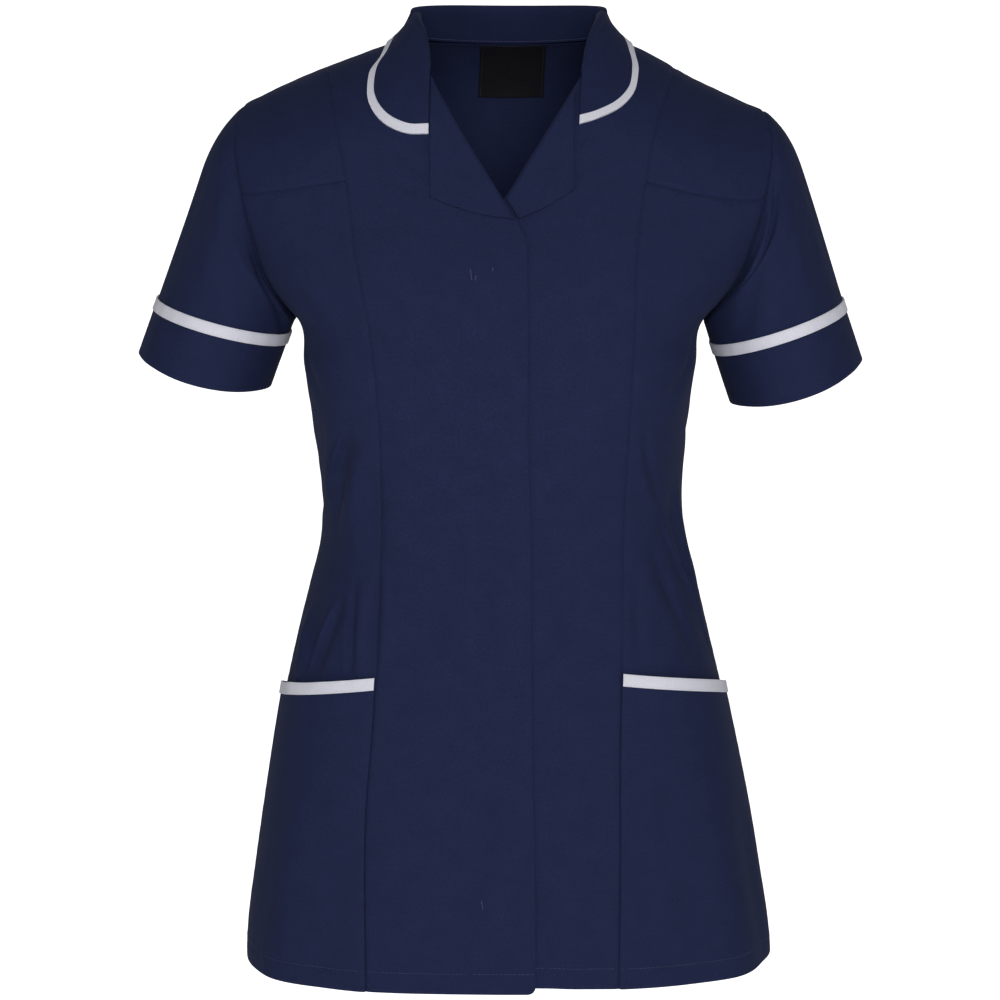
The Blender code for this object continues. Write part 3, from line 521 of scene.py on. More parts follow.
def panel(name, side, places, seams, material, hand=1, lift=0.0, thick=CLOTH, hem=False,
          corner=0):
    """A panel on the form, raised by its folds and by the relief of its seams and hem. At
    its seams the cloth turns in, as a seam allowance does, so that no gap shows."""
    grid = np.concatenate([places, np.broadcast_to(lift, places.shape[:2])[..., None]], -1)
    grid, folded = turn_in(grid, seams)
    points, normals = on_form(side, grid)
    reach = edge_distances(points)
    rise = grid[..., 2] + body_folds(side, hand * grid[..., 0], points[..., 2]) - folded
    for edge in seams:
        rise += seam_dip(reach[edge], reach["bottom" if edge in ("left", "right") else "left"])
    if hem:
        rise += hem_dip(reach["bottom"], reach["left"] + 0.37 * side)
    if corner:
        points = round_corner(points, corner)
    points = as_worn(points + normals * rise[..., None], hand)
    return build_cloth(name, points, normals * (hand, 1, 1), weave_map(reach), material, thick)


def set_sockets(tree, node, sockets):
    """Links each named input to a socket, or gives it a plain value."""
    for name, value in sockets.items():
        if isinstance(value, bpy.types.NodeSocket):
            tree.links.new(value, node.inputs[name])
        else:
            node.inputs[name].default_value = value


def new_node(tree, kind, sockets, **settings):
    node = tree.nodes.new(kind)
    for name, value in settings.items():
        setattr(node, name, value)
    set_sockets(tree, node, sockets)
    return node


def reckon(tree, operation, *values, clamp=False):
    """One sum in the nodes, and the socket that it comes out of."""
    node = new_node(tree, "ShaderNodeMath", dict(enumerate(values)), operation=operation,
                    use_clamp=clamp)
    return node.outputs[0]


def blend_colours(tree, share, first, second):
    mix = new_node(tree, "ShaderNodeMix", {0: share, 6: first, 7: second}, data_type="RGBA")
    return mix.outputs[2]


def new_material(name):
    material = bpy.data.materials.new(name)
    material.use_nodes = True
    return material, material.node_tree, material.node_tree.nodes["Principled BSDF"]


def twill_weave():
    """Diagonal ribs crossed by finer yarns, with slow mottling, grain and thick yarns."""
    tree = bpy.data.node_groups.new("twill_weave", "ShaderNodeTree")
    for way, name, kind in (("INPUT", "Shade", "Color"), ("INPUT", "Tint", "Color"),
                            ("INPUT", "Roughness", "Float"), ("OUTPUT", "Colour", "Color"),
                            ("OUTPUT", "Roughness", "Float"), ("OUTPUT", "Height", "Float")):
        tree.interface.new_socket(name, in_out=way, socket_type="NodeSocket" + kind)
    given = tree.nodes.new("NodeGroupInput").outputs
    place = new_node(tree, "ShaderNodeTexCoord", {}).outputs["UV"]

    def noise(where, scale, detail, **more):
        sockets = {"Vector": where, "Scale": scale, "Detail": detail, **more}
        return new_node(tree, "ShaderNodeTexNoise", sockets).outputs["Fac"]

    ribs = new_node(tree, "ShaderNodeTexWave", {
        "Vector": place, "Scale": 640.0, "Distortion": 0.8, "Detail Scale": 0.6,
    }, bands_direction="DIAGONAL").outputs["Fac"]
    yarns = new_node(tree, "ShaderNodeTexWave", {
        "Vector": place, "Scale": 700.0, "Distortion": 0.5,
    }, bands_direction="Y").outputs["Fac"]
    stretched = new_node(tree, "ShaderNodeMapping", {"Vector": place, "Scale": (70, 900, 1)})
    slubs = noise(stretched.outputs[0], 1.0, 2.0)
    woven = reckon(tree, "MULTIPLY_ADD", ribs, 0.6, reckon(tree, "MULTIPLY", yarns, 0.4))
    height = reckon(tree, "MULTIPLY_ADD", slubs, 0.5, woven)
    mottled = reckon(tree, "MULTIPLY_ADD", noise(place, 55.0, 4.0, Roughness=0.6), 0.55, -0.05)
    grained = reckon(tree, "MULTIPLY_ADD", noise(place, 480.0, 2.0, Roughness=0.7), 0.9, -0.45)
    uneven = reckon(tree, "ADD", mottled, grained)
    share = reckon(tree, "MULTIPLY_ADD", height, 0.35, uneven, clamp=True)
    new_node(tree, "NodeGroupOutput", {
        "Colour": blend_colours(tree, share, given["Shade"], given["Tint"]),
        "Roughness": reckon(tree, "MULTIPLY_ADD", slubs, 0.08, given["Roughness"], clamp=True),
        "Height": height,
    })
    return tree


WEAVE = twill_weave()


def cloth_material(name, shade, tint, roughness, depth, sheen, sheen_tint):
    """Cloth from the weave group, with a soft fuzz of sheen at its turning edges."""
    material, tree, shader = new_material(name)
    weave = new_node(tree, "ShaderNodeGroup", {}, node_tree=WEAVE)
    set_sockets(tree, weave, {"Shade": shade, "Tint": tint, "Roughness": roughness})
    bump = new_node(tree, "ShaderNodeBump", {"Height": weave.outputs["Height"],
                                             "Strength": 0.35, "Distance": depth})
    set_sockets(tree, shader, {
        "Base Color": weave.outputs["Colour"], "Roughness": weave.outputs["Roughness"],
        "Normal": bump.outputs[0], "Specular IOR Level": 0.12, "Sheen Weight": sheen,
        "Sheen Roughness": 0.45, "Sheen Tint": sheen_tint,
    })
    return material


NAVY_SHADE = (0.0100, 0.0146, 0.0480, 1)
NAVY_TINT = (0.0212, 0.0295, 0.0880, 1)
navy = cloth_material("navy_twill", NAVY_SHADE, NAVY_TINT, 0.80, 0.00025,
                      0.03, (0.45, 0.50, 0.80, 1))

BACK_SHOULDER_COLUMNS = 40
BACK_NECK_COLUMNS = 60


def back_places():
    """The back's grid: hem, side seams and armholes, then shoulders round the neck."""
    armhole = armhole_place(1, np.linspace(np.pi, 2 * np.pi - 1e-9,
                                           CHEST_ROWS + YOKE_ROWS + 1)[1:])
    edges = {hand: np.concatenate([side_seam(1, hand), armhole]) * (hand, 1)
             for hand in (-1, 1)}
    tip = form_point(1, *armhole[-1])[0]
    shoulder = place_on_shoulder(np.linspace(NECK_HALF_WIDTH, tip, BACK_SHOULDER_COLUMNS + 1))
    turns = np.linspace(-np.pi / 2, np.pi / 2, BACK_NECK_COLUMNS + 1)[1:-1]
    neck = place_at(1, NECK_HALF_WIDTH * np.sin(turns), 0.0)
    top = np.concatenate([shoulder[::-1] * (-1, 1), neck, shoulder])
    edges[-1][-1], edges[1][-1] = top[0], top[-1]
    hem = hem_row(1, -np.pi / 2, np.pi / 2, len(top) - 1, HEM_HEIGHT[-1], HEM_HEIGHT[1])
    return fill_between(edges[-1], edges[1], hem, top)


back = panel("back_cloth", 1, crowd_edges(back_places()),
             seams_at("left", "right") | {"top": NECK_ALLOWANCE}, navy, hem=True)
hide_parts("back")


# ---- The fronts ------------------------------------------------------------------------
# Each front is three panels: a centre front from shoulder to hem, a side front from the
# chest seam down, and a yoke above it. The wearer's right front closes over the left on
# a hidden fastening, and both are turned in at the centre edge.

PRINCESS = table(
    "height right left",
    (-700, 104, 80),
    (-560, 102, 83),
    (-490, 95, 84.5),
    (-440, 91.5, 86),
    (-340, 88.5, 87.5),
    (-260, 86.5, 93.5),
    (-200, 94, 95),
    (-150, 105, 95.5),
    (-103, 112, 101),
    (-60, 121, 110),
    (-20, 130.5, 124),
)
FRONT_EDGE = table(
    "height past_centre",
    (-700, 19.8), (-340, 19.6), (-160, 17.6), (-140, 16.3), (-125.5, 9.3),
)
PRINCESS_TOP = -0.020
YOKE_SEAM_HEIGHT = -0.102
YOKE_ARMHOLE_HEIGHT = -0.113
YOKE_TURN = np.arccos((YOKE_ARMHOLE_HEIGHT - ARMHOLE_MIDDLE) / ARMHOLE_HALF)
POCKET_MOUTH_INNER = {-1: -0.4558, 1: -0.4524}
UNDER_FRONT_RISE = 0.002
LAP_GAP = 0.0007
LAP_MARGIN = 0.008
LAP_RAMP = 0.020
NECK_FRONT_CURVE = 1.6
ROLL_TOP = np.array((0.0540, -0.0260))
ROLL_FOOT = np.array((-0.0093, -0.1255))
EDGE_CHEST_ROWS = 26
NECK_ROWS = 13
CENTRE_FRONT_COLUMNS = 48
SIDE_FRONT_COLUMNS = 64
SIDE_NAME = {-1: "right", 1: "left"}


def princess_across(heights, hand):
    """Distance of the princess seam from the centre."""
    return read(PRINCESS, SIDE_NAME[hand], heights)


def princess_seam(hand):
    """The princess seam from the hem up to the shoulder."""
    below = body_heights(HEM_HEIGHT[hand], POCKET_MOUTH_INNER[hand])
    chest = np.linspace(ARMPIT_HEIGHT, YOKE_SEAM_HEIGHT, CHEST_ROWS + 1)[1:]
    heights = np.concatenate([below, chest])
    lower = place_at(-1, princess_across(heights, hand), heights)
    drops = np.linspace(lower[-1, 1], 0, YOKE_ROWS + 1)[1:]
    height = np.linspace(YOKE_SEAM_HEIGHT, PRINCESS_TOP, YOKE_ROWS + 1)[1:]
    for _ in range(25):
        across = princess_across(height, hand)
        height = shoulder_height(across) - fall_of(-1, drops)[0]
    upper = place_at(-1, across, height)
    upper[:, 1] = drops
    return np.concatenate([lower, upper])


def neck_front(share):
    """Distance from the centre and drop of the front neck seam, shoulder (0) to roll (1)."""
    last = place_at(-1, *ROLL_TOP)[1]
    across = NECK_HALF_WIDTH - (NECK_HALF_WIDTH - ROLL_TOP[0]) * share**NECK_FRONT_CURVE
    return across, last * share


def near_neck_place(side, across, drop):
    """The (angle, drop) of a drop from the shoulder line, at a distance from the centre."""
    place = place_at(side, across, shoulder_height(across) - fall_of(side, drop)[0])
    place[..., 1] = drop
    return place


def centre_edge(hand):
    """Inner edge of a centre front: straight edge, roll line, then neck seam."""
    hem = HEM_HEIGHT[hand] + (UNDER_FRONT_RISE if hand > 0 else 0)
    below = body_heights(hem, POCKET_MOUTH_INNER[hand])
    chest = np.linspace(ARMPIT_HEIGHT, ROLL_FOOT[1], EDGE_CHEST_ROWS + 1)[1:]
    heights = np.concatenate([below, chest])
    straight = place_at(-1, -read(FRONT_EDGE, "past_centre", heights), heights)
    roll_rows = CHEST_ROWS + YOKE_ROWS - EDGE_CHEST_ROWS - NECK_ROWS
    roll = ROLL_FOOT + (ROLL_TOP - ROLL_FOOT) * steps(roll_rows)[1:, None]
    neck = near_neck_place(-1, *neck_front(np.linspace(1, 0, NECK_ROWS + 1)[1:]))
    return np.concatenate([straight, place_at(-1, roll[:, 0], roll[:, 1]), neck])


def under_lap(places):
    """How deep the under front lies below the form, to pass beneath the upper front."""
    points = form_point(-1, places[..., 0], places[..., 1])
    edge = read(FRONT_EDGE, "past_centre", points[..., 2])
    over_foot = (points[..., 2] - ROLL_FOOT[1] - LAP_MARGIN) / (ROLL_TOP[1] - ROLL_FOOT[1])
    roll = -(ROLL_FOOT[0] + (ROLL_TOP[0] - ROLL_FOOT[0]) * over_foot)
    edge = np.where(over_foot > 0, roll, edge)
    share = np.clip((points[..., 0] - edge - LAP_MARGIN) / LAP_RAMP, 0, 1)
    return -(CLOTH + LAP_GAP) * (1 - smooth(share))


def side_front_places(hand):
    """Between the princess seam, side seam and armhole, hem and chest seam."""
    inner = princess_seam(hand)[:-YOKE_ROWS]
    armhole = armhole_place(-1, np.linspace(np.pi, YOKE_TURN, CHEST_ROWS + 1)[1:])
    outer = np.concatenate([side_seam(-1, hand), armhole])
    hem = hem_row(-1, inner[0, 0], outer[0, 0], SIDE_FRONT_COLUMNS, *[HEM_HEIGHT[hand]] * 2)
    top = np.linspace(inner[-1], outer[-1], SIDE_FRONT_COLUMNS + 1)
    return fill_between(inner, outer, hem, top)


def centre_front_places(hand):
    """Between the front edge, princess seam, hem and shoulder."""
    inner, outer = centre_edge(hand), princess_seam(hand)
    start = HEM_HEIGHT[hand] + (UNDER_FRONT_RISE if hand > 0 else 0)
    hem = hem_row(-1, inner[0, 0], outer[0, 0], CENTRE_FRONT_COLUMNS, start, HEM_HEIGHT[hand])
    reach = princess_across(PRINCESS_TOP, hand)
    shoulder = place_on_shoulder(np.linspace(NECK_HALF_WIDTH, reach, CENTRE_FRONT_COLUMNS + 1))
    inner[-1], outer[-1] = shoulder[0], shoulder[-1]
    return fill_between(inner, outer, hem, shoulder)


def yoke_places(hand):
    """Between the princess seam, armhole, chest seam and shoulder."""
    below = side_front_places(hand)[-1]
    inner = princess_seam(hand)[-YOKE_ROWS - 1:]
    outer = armhole_place(-1, np.linspace(YOKE_TURN, 0, YOKE_ROWS + 1))
    tip = form_point(-1, *outer[-1])[0]
    start = princess_across(PRINCESS_TOP, hand)
    shoulder = place_on_shoulder(np.linspace(start, tip, SIDE_FRONT_COLUMNS + 1))
    inner[-1], outer[-1] = shoulder[0], shoulder[-1]
    return fill_between(inner, outer, below, shoulder)


FRONT_PANELS = {
    "centre_front": (centre_front_places, ("right", "top"), {"hem": True, "corner": 0.006},
                     {-1: ((0.160, 0.735), 0.0802), 1: ((0.150, 0.730), 0.0735)}),
    "side_front": (side_front_places, ("left", "right", "top"), {"hem": True},
                   {-1: ((0.190, 0.610), 0.0778), 1: ((0.200, 0.610), 0.0820)}),
    "front_yoke": (yoke_places, ("left", "right", "top", "bottom"), {},
                   {-1: ((0.095, 0.110), 0.0087), 1: ((0.105, 0.115), 0.0099)}),
}
for hand, word in SIDE_NAME.items():
    for part, (places_of, seams, finish, cuts) in FRONT_PANELS.items():
        node = "%s_%s" % (part, word)
        places = crowd_edges(places_of(hand))
        lift = under_lap(places) if hand > 0 and part == "centre_front" else 0.0
        piece = panel(node + "_cloth", -1, places, seams_at(*seams), navy, hand, lift, **finish)
        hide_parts(node)


# ---- The hip pockets -------------------------------------------------------------------
# A pocket lies on each side front from its slanted mouth down to the hem, and is caught
# in the princess and side seams. Flat white tape is stitched along the mouth.

POCKET_GAPE = 0.0034
SEAM_GAP = 0.0003
TAPE = 0.0010
TAPE_SHADE = (0.74, 0.74, 0.84, 1)
TAPE_TINT = (0.88, 0.88, 0.96, 1)
white_tape = cloth_material("white_tape", TAPE_SHADE, TAPE_TINT, 0.70, 0.00020,
                            0.05, (1, 1, 1, 1))


def pocket_lift(hand, places):
    """Clearance over the side front: most in the middle of the mouth, none at the hem."""
    rows, columns = places.shape[:2]
    u, v = np.linspace(0, 1, columns)[None], np.linspace(0, 1, rows)[:, None]
    bulge = np.sin(np.pi * u**0.8) * 0.5 + 0.5 * u
    return SEAM_GAP + POCKET_GAPE * bulge * v**2 + CLOTH


for hand, word in SIDE_NAME.items():
    places = side_front_places(hand)[:SKIRT_ROWS + TRIM_ROWS + 1]
    lift = pocket_lift(hand, places)[..., None]
    grid = crowd_edges(np.concatenate([places, lift], axis=-1))
    pocket = panel("pocket_%s_cloth" % word, -1, grid[..., :2], seams_at("left", "right"), navy,
                   hand, grid[..., 2], hem=True)
    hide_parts("pocket_" + word)

    grid = np.concatenate([places, lift + SEAM_GAP + TAPE], axis=-1)[-TRIM_ROWS - 1:]
    grid = crowd_edges(grid)
    tape = panel("pocket_trim_%s_tape" % word, -1, grid[..., :2], {}, white_tape, hand,
                 grid[..., 2], TAPE + SEAM_GAP)
    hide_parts("pocket_trim_" + word)


# ---- The sleeves -----------------------------------------------------------------------
# A short set-in sleeve with a rounded cap is sewn into each armhole. Its turned cuff is
# a doubled band, and white tape covers the seam between the two.

SLEEVE_HALF_DEPTH = 0.064
SLEEVE_CAP_LENGTH = 0.047
SLEEVE_CAP_LEAST = 0.006
SLEEVE_TWIST = np.radians(20)
SLEEVE_AXIS = np.array((0.330, 0.0, -0.944))
SLEEVE_PUFF = 0.6
SLEEVE_TILT = 0.0025
CUFF_DIP = 0.005
SLEEVE_CENTRE = {-1: (0.2188, -0.003, -0.2412), 1: (0.2203, -0.003, -0.2500)}
SLEEVE_HALF_ACROSS = {-1: (0.0489, 0.0, 0.0132), 1: (0.0482, 0.0, 0.0165)}
CUFF_HEIGHT = {-1: 0.0335, 1: 0.0380}
SLEEVE_CAP_ROWS = 34
SLEEVE_ROWS = 24
CUFF_ROWS = 12

# Folds of each sleeve: turn round the arm in degrees and share of the way down (0 at the
# armhole, 2 at the cuff seam), from one end to the other, then bow, width and depth in mm
RIGHT_SLEEVE_FOLDS = (
    (112, 0.1, 150, 1.3, 4, 6, 2),
    (70, 0.4, 92, 1.7, 0, 10, -1),
    (140, 0.7, 168, 1.95, 2, 5, 1.4),
    (250, 0.2, 214, 1.5, -4, 7, 1.8),
    (290, 0.5, 276, 1.8, 0, 10, -1.2),
    (30, 0.6, 34, 1.9, 0, 9, 0.6),
)
LEFT_SLEEVE_FOLDS = (
    (60, 0.02, 132, 0.95, -6, 6, 2.2),
    (100, 0.7, 140, 1.8, 3, 7, 1.2),
    (72, 0.8, 84, 1.9, 0, 11, -1),
    (246, 0.25, 210, 1.6, -4, 7, 1.8),
    (286, 0.4, 272, 1.75, 0, 10, -1.1),
    (24, 0.7, 26, 1.9, 0, 9, 0.5),
)
SLEEVE_RADIUS = 0.058
SLEEVE_LENGTH = 0.075


def sleeve_turns():
    """One full round from the armpit up the front, sharing the armhole's own points."""
    low = np.linspace(np.pi, YOKE_TURN, CHEST_ROWS + 1)[:-1]
    high = np.linspace(YOKE_TURN, 0, YOKE_ROWS + 1)
    behind = np.linspace(2 * np.pi, np.pi, CHEST_ROWS + YOKE_ROWS + 1)[1:-1]
    return np.concatenate([low, high, behind])


def sleeve_ring(hand, turn, up, dip=0.0):
    """Points of the straight part of the sleeve, a distance up from its lower edge."""
    turn, up = (part[..., None] for part in np.broadcast_arrays(turn, up))
    ring = (np.array(SLEEVE_CENTRE[hand]) + np.array(SLEEVE_HALF_ACROSS[hand]) * np.cos(turn)
            + np.array((0, -SLEEVE_HALF_DEPTH, -SLEEVE_TILT)) * np.sin(turn))
    return ring - SLEEVE_AXIS * (up - dip * np.sin(turn)**2)


def armhole_points(turn):
    """Points and body normals of the armhole seam, front or back by the turn."""
    turn = np.clip(turn % (2 * np.pi), 1e-6, 2 * np.pi - 1e-6)
    ahead, behind = (on_form(side, armhole_place(side, turn)) for side in (-1, 1))
    return [np.where((turn <= np.pi)[:, None], *pair) for pair in zip(ahead, behind)]


def ring_turns(turns):
    """Turns round the straight sleeve, twisted towards front and back."""
    return turns - SLEEVE_TWIST * np.sin(turns) * np.abs(np.sin(turns))


def sleeve_grid(hand, turns):
    """Lines down the sleeve: a Hermite curve over the cap from the armhole to the tube,
    then straight down to the cuff. Rows run down, columns run round."""
    point, normal = armhole_points(turns)
    after, before = armhole_points(turns + 1e-3)[0], armhole_points(turns - 1e-3)[0]
    out = unit(np.cross(unit(after - before), normal))
    lead_way = np.stack([np.ones_like(turns), 0 * turns, 0.5 * np.cos(turns) + 0.5], -1)
    out = out * np.sign((out * lead_way).sum(-1, keepdims=True))
    low = ((1 - np.cos(turns)) / 2)[:, None]
    start = point + normal * SEAM_GAP * 1.5 * low
    along = ring_turns(turns)
    length = (sleeve_ring(hand, along, 0 * turns) - start) @ SLEEVE_AXIS
    cap = SLEEVE_CAP_LEAST + SLEEVE_CAP_LENGTH * np.cos(turns / 2)**4
    joint = sleeve_ring(hand, along, length - cap)
    chord = joint - start
    size = np.linalg.norm(chord, axis=-1, keepdims=True)
    puff = SLEEVE_PUFF * np.cos(turns / 2)[:, None]**2
    lead = unit(chord / size + puff * (1, 0, 0)) * size
    end = sleeve_ring(hand, along, np.full(len(turns), CUFF_HEIGHT[hand]))
    s = steps(SLEEVE_CAP_ROWS)[:, None, None]
    over_cap = (start * (2 * s**3 - 3 * s**2 + 1) + lead * (s**3 - 2 * s**2 + s)
                + joint * (3 * s**2 - 2 * s**3) + SLEEVE_AXIS * size * (s**3 - s**2))
    s = steps(SLEEVE_ROWS)[1:, None, None]
    return np.concatenate([over_cap, joint + (end - joint) * s])


def tube_normals(grid):
    """Outward normals of a tube whose rows are closed rings."""
    ring = np.roll(grid, -1, axis=1) - np.roll(grid, 1, axis=1)
    normal = unit(np.cross(ring, np.gradient(grid, axis=0)))
    outwards = grid - grid.mean(axis=1, keepdims=True)
    return normal * np.sign((normal * outwards).sum())


def ring_lengths(grid):
    """Length round and length down a tube, for its weave."""
    down = run_along(grid, 0)
    return np.stack([np.broadcast_to(run_along(grid, 1).mean(0), down.shape), down], axis=-1)


def sleeve_folds(hand, turns, shares):
    """The listed folds, with a slow wave round the arm under them."""
    slow = 0.00025 * np.sin(3 * turns[None] + 2.4 * shares[:, None] + hand)
    folds = RIGHT_SLEEVE_FOLDS if hand < 0 else LEFT_SLEEVE_FOLDS
    return slow + troughs(folds, SLEEVE_RADIUS, SLEEVE_LENGTH, (turns % (2 * np.pi))[None],
                          shares[:, None] * SLEEVE_LENGTH)


def tube_cloth(name, hand, grid, rise, material, thick):
    """Cloth round the arm, raised off a tube by its rise."""
    normals = tube_normals(grid)
    worn = as_worn(grid + normals * rise[..., None], hand)
    return build_cloth(name, worn, normals * (hand, 1, 1), ring_lengths(grid), material, thick,
                       closed=True)


for hand, word in SIDE_NAME.items():
    turns = sleeve_turns()
    grid = sleeve_grid(hand, turns)
    shares = np.concatenate([steps(SLEEVE_CAP_ROWS),
                             np.linspace(1, 2, SLEEVE_ROWS + 1)[1:]])
    normals, lengths = tube_normals(grid), ring_lengths(grid)
    rise = sleeve_folds(hand, turns, shares) + seam_dip(lengths[..., 1], lengths[..., 0])
    grid = grid + normals * rise[..., None]
    inside = grid[:1] - armhole_points(turns)[1][None] * ALLOWANCE
    grid = as_worn(np.concatenate([inside, grid]), hand)
    normals, lengths = (np.concatenate([part[:1], part]) for part in (normals, lengths))
    sleeve = build_cloth("sleeve_%s_cloth" % word, grid, normals * (hand, 1, 1), lengths,
                         navy, CLOTH, closed=True)
    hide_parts("sleeve_" + word)

    along = ring_turns(turns)
    down = steps(CUFF_ROWS)[:, None]
    grid = sleeve_ring(hand, along, CUFF_HEIGHT[hand] * (1 - down), CUFF_DIP * down[..., None])
    wave = 0.00035 * np.sin(4 * turns + 1.1 * hand) + 0.0002 * np.sin(9 * turns)
    band = tube_cloth("cuff_%s_cloth" % word, hand, grid, SEAM_GAP + wave * down, navy,
                      CLOTH + SEAM_GAP)
    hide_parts("cuff_" + word)

    down = np.array((0, 0.04, 0.15, 0.5, 0.85, 0.96, 1))[:, None]
    grid = sleeve_ring(hand, along, CUFF_HEIGHT[hand] + SEAM_GAP + TRIM_WIDTH * (1 - down))
    ripple = 0.00012 * np.sin(ring_lengths(grid)[..., 0] * 2 * np.pi / 0.015)
    tape = tube_cloth("cuff_trim_%s_tape" % word, hand, grid, SEAM_GAP + TAPE + ripple,
                      white_tape, TAPE + SEAM_GAP)
    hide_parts("cuff_trim_" + word)


# ---- The collar ------------------------------------------------------------------------
# A doubled collar stands up from the neck seam, rolls over and lies on the shoulders. It
# ends at the lapels, and white tape binds its outer edge.

# Outer edge: turn round the neck from the centre back, then on each side the distance
# from the centre and the drop in front of (+) or behind (-) the shoulder line
COLLAR_EDGE = table(
    "turn right_across right_drop left_across left_drop",
    (0, 0, -114, 0, -114),
    (30, 43, -108, 43, -108),
    (60, 74, -72, 74.5, -72),
    (90, 85.2, 0, 88.5, 0),
    (105, 90.2, 38, 92.5, 34),
    (115, 97.7, 57, 94.7, 55),
    (121, 96.2, 79, 91.4, 74),
    (126.5, 85, 98, 80.4, 90),
    (131, 69.6, 110, 66.5, 101),
    (135.6, 53.2, 116, 53.4, 109),
)
COLLAR_CLOTH = 0.0018
COLLAR_STAND = 0.0278
COLLAR_STAND_LEAST = 0.003
COLLAR_STAND_CURVE = 0.6
COLLAR_LEAN = 0.32
COLLAR_SPREAD = 1.8
COLLAR_END_TURN = 135.6
COLLAR_FOLD_RADIUS = 0.0028
COLLAR_CLEAR = 0.0022
COLLAR_EDGE_CLEAR = 0.0008
COLLAR_TRIM_WIDTH = 0.0078
COLLAR_TRIM_CLOTH = COLLAR_CLOTH + 0.0005


def near_neck(across, signed, lift):
    """Points off the form, at a drop in front of (+) or behind (-) the shoulder line."""
    pairs = (on_form(side, near_neck_place(side, across, np.abs(signed))) for side in (-1, 1))
    both = [points + normals * lift for points, normals in pairs]
    return np.where((signed >= 0)[:, None], *both)


def collar_sections(hand, degrees):
    """The collar's lines at turns round the neck: its foot, the hub that it rolls over,
    its way outwards, and a function that gives points along its fall."""
    behind = degrees <= 90
    back_across = NECK_HALF_WIDTH * np.sin(np.radians(np.minimum(degrees, 90)))
    back_drop = place_at(1, back_across, 0.0)[:, 1]
    ahead = np.clip((degrees - 90) / (COLLAR_END_TURN - 90), 0, 1)
    front_across, front_drop = neck_front(ahead)
    seam_across = np.where(behind, back_across, front_across)
    seam_signed = np.where(behind, -back_drop, front_drop)
    edge_across, edge_signed = (read(COLLAR_EDGE, SIDE_NAME[hand] + part, degrees)
                                for part in ("_across", "_drop"))

    def fall_point(share, lift):
        return near_neck(seam_across + (edge_across - seam_across) * share,
                         seam_signed + (edge_signed - seam_signed) * share, lift)

    seam = near_neck(seam_across, seam_signed, 0.0)
    seam_normal = near_neck(seam_across, seam_signed, 1.0) - seam
    away = unit((fall_point(1.0, 0.0) - seam) * (1, 1, 0))
    rise = (COLLAR_CLEAR + COLLAR_CLOTH / 2) * np.sin(np.pi / 2 * ahead)[:, None]
    base = seam - away * (2 * SEAM_GAP + COLLAR_CLOTH / 2) + seam_normal * rise
    round_neck = np.cos(np.pi / 2 * degrees / COLLAR_END_TURN)
    round_neck = np.clip(round_neck, 0, 1)**COLLAR_STAND_CURVE
    height = (COLLAR_STAND_LEAST + (COLLAR_STAND - COLLAR_STAND_LEAST) * round_neck)[:, None]
    hub = base - away * COLLAR_LEAN * height + (height - COLLAR_FOLD_RADIUS) * (0, 0, 1)
    return base, hub, away, fall_point


def collar_lines(hand, degrees, stops):
    """Up the stand, over the fold in half a turn, and down the fall: one line a stop."""
    base, hub, away, fall_point = collar_sections(hand, degrees)
    foot = base + (0, 0, 2 * SEAM_GAP)
    start = hub + away * COLLAR_FOLD_RADIUS
    apart = start - fall_point(0.0, COLLAR_CLEAR + COLLAR_CLOTH / 2)
    lines = []
    for part, share in stops:
        if part == "stand":
            lines.append(foot + (hub - away * COLLAR_FOLD_RADIUS - foot) * share)
        elif part == "fold":
            turn = np.pi * (1 - share)
            over = away * np.cos(turn) + np.array((0, 0, np.sin(turn)))
            lines.append(hub + COLLAR_FOLD_RADIUS * over)
        else:
            share = np.broadcast_to(share, degrees.shape)
            clear = COLLAR_CLEAR + (COLLAR_EDGE_CLEAR - COLLAR_CLEAR) * share
            spread = (1 - share)[:, None]**COLLAR_SPREAD
            lift = (clear + COLLAR_CLOTH / 2)[:, None]
            lines.append(fall_point(share, lift) + apart * spread)
    return np.stack(lines, axis=1)


def round_collar(degrees, stops):
    """Both halves, from the wearer's right front end round the back to the left one."""
    halves = {hand: collar_lines(hand, degrees, stops) for hand in (-1, 1)}
    return as_worn(np.concatenate([halves[-1][:0:-1] * (-1, 1, 1), halves[1]]))


def sheet_normals(grid):
    """Normals of an open grid, from its steps along and across."""
    return unit(np.cross(np.gradient(grid, axis=1), np.gradient(grid, axis=0)))


collar_degrees = np.concatenate([np.linspace(0, 90, 46),
                                 np.linspace(90, COLLAR_END_TURN, 45)[1:]])
ends = collar_lines(-1, collar_degrees, (("fall", 0.5), ("fall", 1.0)))
fall_length = 2 * np.linalg.norm(ends[:, 1] - ends[:, 0], axis=-1)
tape_from = 1 - COLLAR_TRIM_WIDTH / fall_length
stops = ([("stand", s) for s in steps(8)]
         + [("fold", s) for s in steps(12)[1:]]
         + [("fall", (tape_from + 0.0008 / fall_length) * s) for s in steps(22)[1:]])
grid = round_collar(collar_degrees, stops)
flat = weave_map(edge_distances(grid), "bottom", "left")
collar = build_cloth("collar_cloth", grid, sheet_normals(grid), flat, navy, COLLAR_CLOTH,
                     centred=True)
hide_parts("collar")

stops = [("fall", tape_from + (1 - tape_from) * s) for s in (0, 0.06, 0.2, 0.5, 0.8, 0.94, 1)]
grid = round_collar(collar_degrees, stops)
flat = weave_map(edge_distances(grid), "bottom", "left")
binding = build_cloth("collar_trim_tape", grid, sheet_normals(grid), flat, white_tape,
                      COLLAR_TRIM_CLOTH, centred=True)
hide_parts("collar_trim")


# ---- The lapels ------------------------------------------------------------------------
# The top of each front turns back on itself along the roll line, and lies flat on the
# front with its facing outwards. The under front's lapel tucks beneath the upper edge.

